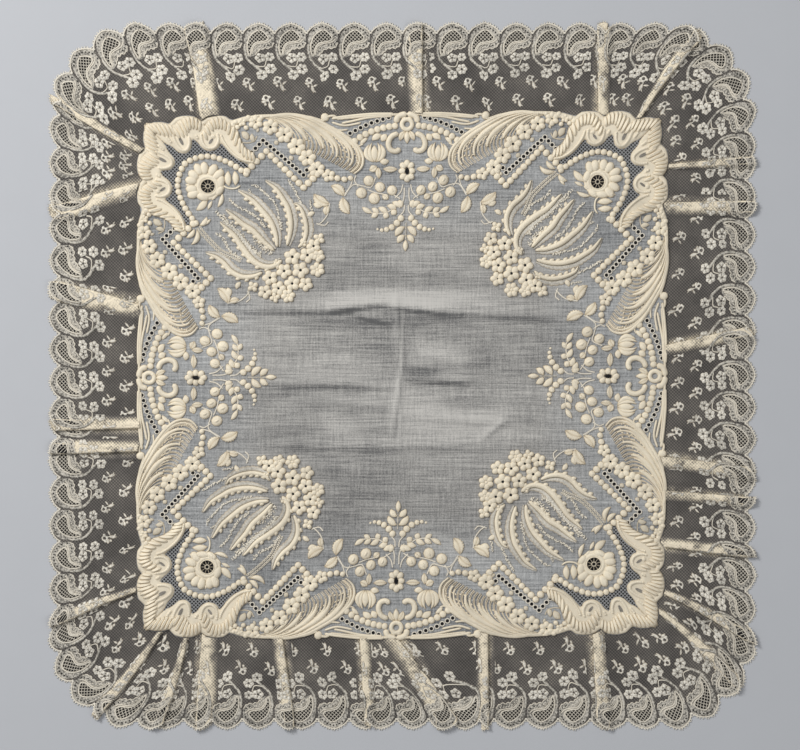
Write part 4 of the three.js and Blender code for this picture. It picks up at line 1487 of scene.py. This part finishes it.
SPRAY_STEMS = (
    ((19, 125.6), (22, 119.4), (27, 120.4), (33, 121), (38, 114)), ((14, 115), (19, 116), (24, 118)),
    ((2.4, 121), (3.6, 116.4), (7, 112.6)), ((1.5, 119), (1.7, 112), (4.4, 106)),
    ((1.2, 108), (1.6, 104), (4.6, 100.6)), ((6.4, 107.4), (12, 103.4), (20, 103), (24, 104.6)),
    ((47, 109.6), (48, 103), (51, 98.4), (54, 96)), ((33, 125), (34.6, 120), (38, 115)),
    ((29.6, 120), (32, 124), (31, 127)), ((4, 112), (8, 114.6)), ((55, 97), (50, 95.6), (47.6, 98)),
)


class HANKY_OT_medallions(bpy.types.Operator):
    """Make the spray of flowers, berries and leaves in the middle of each side"""

    bl_idname = "hanky.medallions"
    bl_label = "Side sprays"

    def execute(self, context):
        settings = context.scene.hanky_stitch
        pairs, singles, stems, eyes = Forms(), Forms(), Forms(), Forms()
        for foot, tip, wide, high, bow in SPRAY_LEAVES:
            large = wide > 3.1
            tip = lerp(np.array(foot), np.array(tip), 1.08)
            if large:
                leaf(pairs, foot, tip, wide * 1.3, high, bow, groove=0.75, steps=18, teeth=0.22)
            else:
                leaf(pairs, foot, tip, wide * 1.45, high, bow, groove=0.2)
        for x, y, radius in SPRAY_BERRIES:
            high = min(1.5, radius * 0.62)
            wide = radius * (1.0 if radius > 2.6 else 1.12)
            beads(pairs, [(x, y)], wide * 1.06, wide, 1.1, high * 0.86)
            if radius > 2.6:
                beads(pairs, [(x, y)], radius * 0.72, radius * 0.34, 1.1, high * 1.16)
        for path, half, high in SPRAY_CORDS:
            ridge(pairs, smooth(path, 1.0), half, high)
        bud = np.array((19.6, 141.4))
        for start, end, wide, bow in (
            ((0, -6), (0.4, 4.6), 4.8, 0.0),
            ((-1, -6), (-3.2, 5.2), 3.2, 0.28), ((1, -6), (3.4, 5.2), 3.2, -0.28),
            ((-0.6, -6.2), (-1.6, 6.2), 2.4, 0.16), ((0.6, -6.2), (1.8, 6.2), 2.4, -0.16),
        ):
            leaf(pairs, bud + start, bud + end, wide, 1.2, bow, groove=0.15)
        leaf(singles, (0, 155), (0, 146.8), 3.8, 1.3)
        ring(singles, (0, 158.9), 3.2, 1.45, 1.2, 18)
        petals = np.array(((0, 134.3), (2.4, 132.9), (2.9, 129.5), (2.4, 126.1), (0, 124.7), (-2.4, 126.1),
                           (-2.9, 129.5), (-2.4, 132.9)))
        turns = np.arctan2(petals[:, 1] - 129.5, petals[:, 0] * 1.6)
        beads(singles, petals, 2.5, 2.15, turns, 1.4)
        disc(eyes, (0, 129.4), 1.25, 1.42, 1.6, 0.0, 10)
        leaf(singles, (0, 78.8), (0, 86), 3.4, 1.3)
        for path in SPRAY_STEMS:
            thread(stems, smooth(path, 1.4), 0.42, 0.5)
        thread(stems, smooth(((0, 97), (0, 90), (0, 84)), 2.0), 0.3, 0.4)
        spray = pairs.repeated(side_moves(True))
        spray.join(singles.repeated(side_moves(False)))
        material = thread_material("spray_thread", tuple(settings.thread), FINE_STITCH)
        stitched_piece("side_sprays", spray, material)
        fourfold("side_spray_eyes", eyes, shadow_material())
        stem = thread_material("stem_thread", (0.88, 0.83, 0.72), STITCH, sunk_shade=0.85)
        eightfold("spray_stems", stems, stem)
        return {"FINISHED"}


class HANKY_OT_hem(bpy.types.Operator):
    """Make the fine corded hem on which the lace is whipped"""

    bl_idname = "hanky.hem"
    bl_label = "Corded hem"

    def execute(self, context):
        settings = context.scene.hanky_stitch
        forms = Forms()
        outline = panel_outline()
        outline = np.concatenate([outline, outline[:1]])
        line = along_line(outline, 1.6)
        corner = np.clip((np.abs(line).min(axis=1) - 92) / 4, 0, 1)
        inward = line - sideways(line) * (0.2 + 1.3 * corner)[:, None]
        ridge(forms, inward, HEM_HALF + 0.9 * corner, HEM_HIGH, draw=0)
        whips = along_line(inward, WHIP_PITCH)
        side = heading(whips) + 1.0
        beads(forms, whips, 1.0, 0.42, side, 0.4, 0.55, SMALL_BEAD)
        material = thread_material("hem_thread", shade(settings.thread, 0.93), STITCH)
        stitched_piece("corded_hem", forms, material)
        return {"FINISHED"}


# The lace edging

SCALLOP_HALF = PITCH / 2
DRAWN_HALF = 10.2  # half the width that a scallop was drawn with
CRESCENT_MESH = 1.68
CRESCENT_MIDDLE = (-1.0, 47.0)
RIM_MIDDLE = (0.0, 47.5)
TURN_SPREAD = 0.14  # how unevenly the small flowers and sprigs are turned
SIZE_RANGE = (0.98, 1.14)


def scallop_edge(across):
    """How far out the lace's edge is at a place across a scallop."""
    return LACE_DEPTH + (SCALLOP_DEPTH - 0.5) * np.maximum(0, 1 - np.abs(across / SCALLOP_HALF) ** 1.5) ** 0.6


class HANKY_OT_lace_ground(bpy.types.Operator):
    """Make the lace's ground as one long strip, laid round the panel in its pleats"""

    bl_idname = "hanky.lace_ground"
    bl_label = "Lace ground"

    def execute(self, context):
        settings = context.scene.hanky_lace
        even = np.arange(0, STRIP, PITCH / 10)
        bend = COURSE[1:-1]
        lengths = np.sort(np.concatenate([even, bend]))
        lengths = lengths[np.concatenate([[True], np.diff(lengths) > 0.02])]
        lengths = lengths[lengths < STRIP - 0.3]
        across = np.mod(lengths, PITCH) - SCALLOP_HALF
        edge = scallop_edge(across)
        shares = np.concatenate([np.linspace(0, 0.86, 14), (0.93, 1.0)])
        out = shares[:, None] * LACE_DEPTH
        out = np.concatenate([out * np.ones(len(lengths)), ((LACE_DEPTH + edge) / 2)[None], edge[None]])
        length = np.broadcast_to(lengths, out.shape)
        flat = np.stack([length, out, np.zeros(out.shape)], axis=2).reshape(-1, 3)
        faces = grid_faces(len(out), len(lengths), True)[:, ::-1]
        folded = np.interp(np.mod(flat[:, 0], STRIP), COURSE, FOLDED)
        ground = make_piece("lace_ground", lay_lace(flat), faces, ground_material(settings),
                            flat[:, :2], {"folded": folded})
        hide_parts("lace_edging")
        return {"FINISHED"}


CRESCENT = (
    (0.6, 54.0), (4.4, 51.4), (6.0, 48.6), (3.6, 46.9), (-2.6, 45.8), (-5.6, 42.4), (-6.8, 38.2),
    (-7.9, 38.4), (-8.4, 42.2), (-7.4, 46.6), (-4.6, 51.0),
)
COMMA_TOP = ((8.0, 48.4), (5.2, 46.2), (-2.2, 44.9), (-5.0, 41.6), (-5.6, 38.6))
COMMA_FOOT = ((9.2, 45.4), (6.4, 42.6), (2.6, 42.2), (-0.6, 41.2), (-3.4, 38.6))
HOOK = ((-9.6, 45.0), (-9.8, 39.6), (-8.8, 35.4), (-6.0, 32.0), (-2.2, 28.8), (-1.2, 27.4))
BRANCH = ((-4.4, 31.2), (-1.2, 30.6), (1.4, 31.0), (2.8, 34.4))
ROSETTES = ((-0.9, 36.2, 3.0, 5), (5.2, 36.8, 2.7, 6), (4.9, 29.2, 3.0, 6), (-1.2, 25.4, 3.1, 6))
SPRIGS = ((9.8, 19.4), (0.7, 7.4))


def rosette(outline, size, petals, turn):
    """A small lace flower: worked petals with an outlined edge about a pinhole."""
    angle = even_angles(petals, turn)
    at = size * 0.62 * round_about(angle)
    beads(outline, at, size * 0.36, size * 0.33, angle, 0.4, 0.08, SMALL_BEAD)
    wave = np.linspace(0, 2 * np.pi, petals * 4 + 1)
    radius = size * (0.88 + 0.13 * np.cos(petals * (wave - turn)) + 0.06 * np.sin(2 * wave + turn))
    rim = radius[:, None] * round_about(wave)
    thread(outline, rim, 0.36, 0.34, 0.1)
    thread(outline, circle((0, 0), size * 0.34, 7), 0.24, 0.34, 0.1)


def sprig(outline):
    """A small sprig: a ring flower with one leaf to the left and a forked leaf below."""
    thread(outline, circle((-1.2, 2.7), 1.4, 9), 0.5, 0.4, 0.1)
    beads(outline, ((0.6, 3.1), (-2.7, 2.1), (-0.5, 1.3)), 1.05, 0.85, 0.6, 0.34, 0.08, SMALL_BEAD)
    for start, end, wide in (
        ((-1.0, 0.6), (-4.0, 0.4), 2.1), ((-1.4, -0.2), (-2.2, -1.8), 1.7), ((0.2, 0.4), (1.2, -4.4), 2.2),
        ((1.0, -0.6), (3.8, 1.6), 1.2), ((0.9, -2.6), (2.9, -3.6), 1.0),
    ):
        leaf(outline, start, end, wide, 0.4, base=0.08, steps=5, section=THREAD_SECTION)
    thread(outline, np.array(((-0.8, 2.0), (0.2, 0.6), (0.8, -1.2))), 0.3, 0.34, 0.1)


def spans(length, out):
    """The ends of the stretch between bends that holds a place on the strip, and how far it is stretched."""
    k = int(np.clip(np.searchsorted(COURSE, length, side="right"), 1, len(COURSE) - 1))
    ends = COURSE[k - 1] + 1e-6, COURSE[k] - 1e-6
    share = np.clip(out / LACE_DEPTH, 0, 1)
    near = np.clip((length - 0.5, length + 0.5), *ends)
    before, after = (lace_plan(section_at(np.full(share.shape, at), share)[0][:, 0], share) for at in near)
    return *ends, np.linalg.norm(after - before, axis=1) / max(near[1] - near[0], 1e-3)


def scattered(form, places, rng):
    """Copies of a small form at places on the strip, as wide as it was drawn where the lace is pulled."""
    points, faces, stitch, crest = form.arrays()
    made = Forms()
    for length, out in places:
        turn, size = rng.normal(0, TURN_SPREAD), rng.uniform(*SIZE_RANGE)
        across = size * (points[:, 0] * math.cos(turn) - points[:, 1] * math.sin(turn))
        up = out + size * (points[:, 0] * math.sin(turn) + points[:, 1] * math.cos(turn))
        start, end, stretch = spans(length, up)
        along = np.clip(length + across / np.maximum(stretch, 0.35), start, end)
        made.add(np.column_stack([along, up, points[:, 2]]), faces, stitch, crest)
    return made


def sprig_places():
    """Where the sprigs lie: two to a scallop, and more where the lace is pulled wide."""
    places = []
    for i in range(SCALLOPS):
        for across, out in SPRIGS:
            length = (i + 0.5) * PITCH + across
            wide = max(1, int(round(spans(length % STRIP, np.array([out]))[2][0])))
            places += [((length + ((j + 0.5) / wide - 0.5) * PITCH) % STRIP, out) for j in range(wide)]
    return places


def wavy(points):
    """The comma's lower edge, which runs in small waves."""
    line = smooth(points, 0.9)
    line[:, 1] += 0.45 * np.sin(np.arange(len(line)) * 1.7)
    return line


def one_scallop():
    """One repeat of the lace: cloth stitch parts and outlining threads, flat, about its middle."""
    cloth, outline = Forms(), Forms()
    scale = np.array((SCALLOP_HALF / DRAWN_HALF, 1.0))
    edge_x = np.sin(np.linspace(-np.pi / 2, np.pi / 2, 25)) * SCALLOP_HALF * 0.985
    edge = np.column_stack([edge_x, scallop_edge(edge_x) - 0.25])
    thread(outline, edge, 0.42, 0.42, 0.1)
    picots = along_line(edge + (0, 0.6), 1.7)
    lean = heading(picots) + math.pi / 2 + 0.7 * np.sin(np.arange(len(picots)) * 2.6)
    beads(outline, picots, 1.05, 0.3, lean, 0.3, 0.1, SMALL_BEAD)
    crescent = smooth(np.array(CRESCENT) * scale, 1.0, closed=True)
    sides = np.array(((-9.3, 40.4), (-9.6, 44.0), (-9.6, 47.8), (-8.5, 51.2), (-6.6, 54.0)))
    right = np.array(((9.4, 49.4), (9.2, 45.6), (7.8, 43.4)))
    kept = edge[edge[:, 0] > -5.4]
    under = wavy(np.array(COMMA_FOOT) * scale)
    body = np.concatenate([kept[:-2], right, under, [(-5.6, 37.4), (-8.6, 36.8)], sides])
    return cloth, outline, crescent, body, edge


class HANKY_OT_scallops(bpy.types.Operator):
    """Make the lace's scallops: worked rims and leaves, coarse mesh, stems, rosettes and sprigs"""

    bl_idname = "hanky.scallops"
    bl_label = "Lace scallops"

    def execute(self, context):
        settings = context.scene.hanky_lace
        rng = np.random.default_rng(settings.seed)
        cloth, outline, crescent, body, edge = one_scallop()
        mesh, shadow = Forms(), Forms()
        patch, faces = cut_patch(body, 1.3, 0.1)
        middle = patch[faces].mean(axis=1)
        kept = ~inside(middle[:, :2], crescent)
        cloth.add(patch, faces[kept], patch[:, :2])
        thread(outline, np.concatenate([crescent, crescent[:1]]), 0.42, 0.44, 0.12)
        hole, hole_faces = cut_patch(crescent, 1.6, 0.06)
        shadow.add(hole, hole_faces, hole[:, :2])
        rim = lerp(edge, np.array(RIM_MIDDLE), 0.2)
        comma = lerp(smooth(COMMA_TOP, 1.0)[:8], smooth(COMMA_FOOT, 1.0)[:8], 0.5)
        for centre in np.concatenate([along_line(rim[rim[:, 0] > -6.2], 2.1), along_line(comma, 2.4)]):
            disc(shadow, centre, 0.5, 0.34, count=5)
        for way in ((1, 1), (1, -1)):
            along = np.array(way) / math.sqrt(2)
            across = np.array((-along[1], along[0]))
            for k in range(-9, 10):
                line = np.array(CRESCENT_MIDDLE) + across * k * CRESCENT_MESH
                line = line + along * np.arange(-14, 14, 0.6)[:, None]
                held = inside(line, crescent)
                if held.sum() > 2:
                    span = line[np.flatnonzero(held)[[0, -1]]]
                    thread(mesh, np.linspace(span[0], span[1], 3), 0.23, 0.34, 0.12)
        thread(outline, smooth(COMMA_TOP, 1.0), 0.36, 0.46, 0.14)
        thread(outline, wavy(COMMA_FOOT), 0.34, 0.42, 0.14)
        dots = along_line(smooth(((6.4, 45.0), (0.0, 43.6), (-4.2, 40.4)), 1.0), 2.1)
        beads(outline, dots, 0.5, 0.4, 0.5, 0.42, 0.12, SMALL_BEAD)
        ridge(cloth, smooth(HOOK, 1.2), 0.95, 0.42, draw=2.0, base=0.08)
        thread(outline, smooth(HOOK, 1.2), 0.36, 0.5, 0.14)
        thread(outline, smooth(BRANCH, 1.0), 0.36, 0.44, 0.12)
        motifs = Forms()
        for x, y, size, petals in ROSETTES:
            flower = Forms()
            rosette(flower, size, petals, rng.uniform(0, 1))
            motifs.join(scattered(flower, [((i + 0.5) * PITCH + x, y) for i in range(SCALLOPS)], rng))
        small = Forms()
        sprig(small)
        motifs.join(scattered(small, sprig_places(), rng))
        copies = [(lambda p, i=i: p + ((i + 0.5) * PITCH, 0), False) for i in range(SCALLOPS)]
        clothwork = thread_material("lace_clothwork", tuple(settings.clothwork), BROAD_STITCH, roughness=0.85,
                                    mottle=2.4, low=0.35)
        gimp = thread_material("lace_outline_thread", tuple(settings.thread), STITCH, roughness=0.75,
                               sunk_shade=0.6)
        coarse = thread_material("lace_mesh_thread", shade(settings.thread, 0.8), STITCH, roughness=0.8)
        lace_piece("lace_clothwork", cloth.repeated(copies), clothwork)
        lace_piece("lace_outlines", outline.repeated(copies), gimp)
        white = thread_material("lace_motif_thread", tuple(settings.motif), STITCH, roughness=0.8,
                                mottle=1.4, low=0.6)
        lace_piece("lace_motifs", motifs, white)
        lace_piece("lace_crescent_mesh", mesh.repeated(copies), coarse)
        lace_piece("lace_crescent_shadow", shadow.repeated(copies), shadow_material())
        return {"FINISHED"}


# The stage


class HANKY_OT_stage(bpy.types.Operator):
    """Make the floor, the soft lights and the camera straight above"""

    bl_idname = "hanky.stage"
    bl_label = "Stage"

    def execute(self, context):
        settings = context.scene.hanky_stage
        bpy.ops.object.select_all(action="DESELECT")
        bpy.ops.mesh.primitive_plane_add(size=6.0, location=(0, 0, 0))
        floor = context.object
        floor.name = "floor"
        colour = tuple(settings.floor)
        stops = ((0.3, shade(colour, 0.985)), (0.7, colour))
        floor.data.materials.append(even_paint("floor_paint", 40, 3, stops, 0.9).material)
        world = bpy.data.worlds.new("studio")
        world.use_nodes = True
        background = world.node_tree.nodes["Background"].inputs
        background["Color"].default_value = (0.95, 0.97, 1.0, 1)
        background["Strength"].default_value = 0.36
        context.scene.world = world
        for name, place, size, power in (
            ("key", (-1.1, 1.0, 1.15), 0.6, 29.0),
            ("fill", (1.3, -0.9, 1.5), 1.4, 6.0),
        ):
            bpy.ops.object.light_add(type="AREA", location=place)
            light = context.object
            light.name = name
            light.data.size = size
            light.data.energy = power
            light.rotation_euler = Vector(place).to_track_quat("Z", "Y").to_euler()
        bpy.ops.object.camera_add()
        camera = context.object
        camera.name = "camera"
        camera.data.lens = settings.lens
        width = PHOTO_WIDTH * MM_PER_PIXEL / 1000
        distance = width / camera.data.sensor_width * settings.lens
        left = (PHOTO_WIDTH / 2 - PHOTO_MIDDLE_X) * MM_PER_PIXEL / 1000
        down = (PHOTO_MIDDLE_Y - PHOTO_HEIGHT / 2) * MM_PER_PIXEL / 1000
        camera.location = (left, down, distance)
        camera.rotation_euler = (0, 0, 0)
        camera.data.clip_end = 20
        context.scene.camera = camera
        context.scene.view_settings.view_transform = "Standard"
        return {"FINISHED"}


STEPS = (
    HANKY_OT_cambric, HANKY_OT_rope, HANKY_OT_inset, HANKY_OT_beads, HANKY_OT_eyelets, HANKY_OT_florets,
    HANKY_OT_shells, HANKY_OT_plumes, HANKY_OT_corner_flowers, HANKY_OT_medallions, HANKY_OT_hem,
    HANKY_OT_lace_ground, HANKY_OT_scallops, HANKY_OT_stage,
)


class HANKY_PT_panel(bpy.types.Panel):
    """Lists the handkerchief's settings and steps"""

    bl_label = "Lace handkerchief"
    bl_idname = "HANKY_PT_panel"
    bl_space_type = "VIEW_3D"
    bl_region_type = "UI"
    bl_category = "Handkerchief"

    def draw(self, context):
        for group in ("hanky_cloth", "hanky_stitch", "hanky_lace", "hanky_stage"):
            settings = getattr(context.scene, group)
            for key in settings.__annotations__:
                self.layout.prop(settings, key)
        for step in STEPS:
            self.layout.operator(step.bl_idname)


GROUPS = {
    "hanky_cloth": ClothSettings, "hanky_stitch": StitchSettings, "hanky_lace": LaceSettings,
    "hanky_stage": StageSettings,
}


def register():
    for cls in (*GROUPS.values(), *STEPS, HANKY_PT_panel):
        bpy.utils.register_class(cls)
    for name, cls in GROUPS.items():
        setattr(bpy.types.Scene, name, PointerProperty(type=cls))


def unregister():
    for name in GROUPS:
        delattr(bpy.types.Scene, name)
    for cls in (HANKY_PT_panel, *reversed(STEPS), *reversed(GROUPS.values())):
        bpy.utils.unregister_class(cls)


def main():
    register()
    for step in STEPS:
        group, name = step.bl_idname.split(".")
        getattr(getattr(bpy.ops, group), name)()


if __name__ == "__main__":
    main()
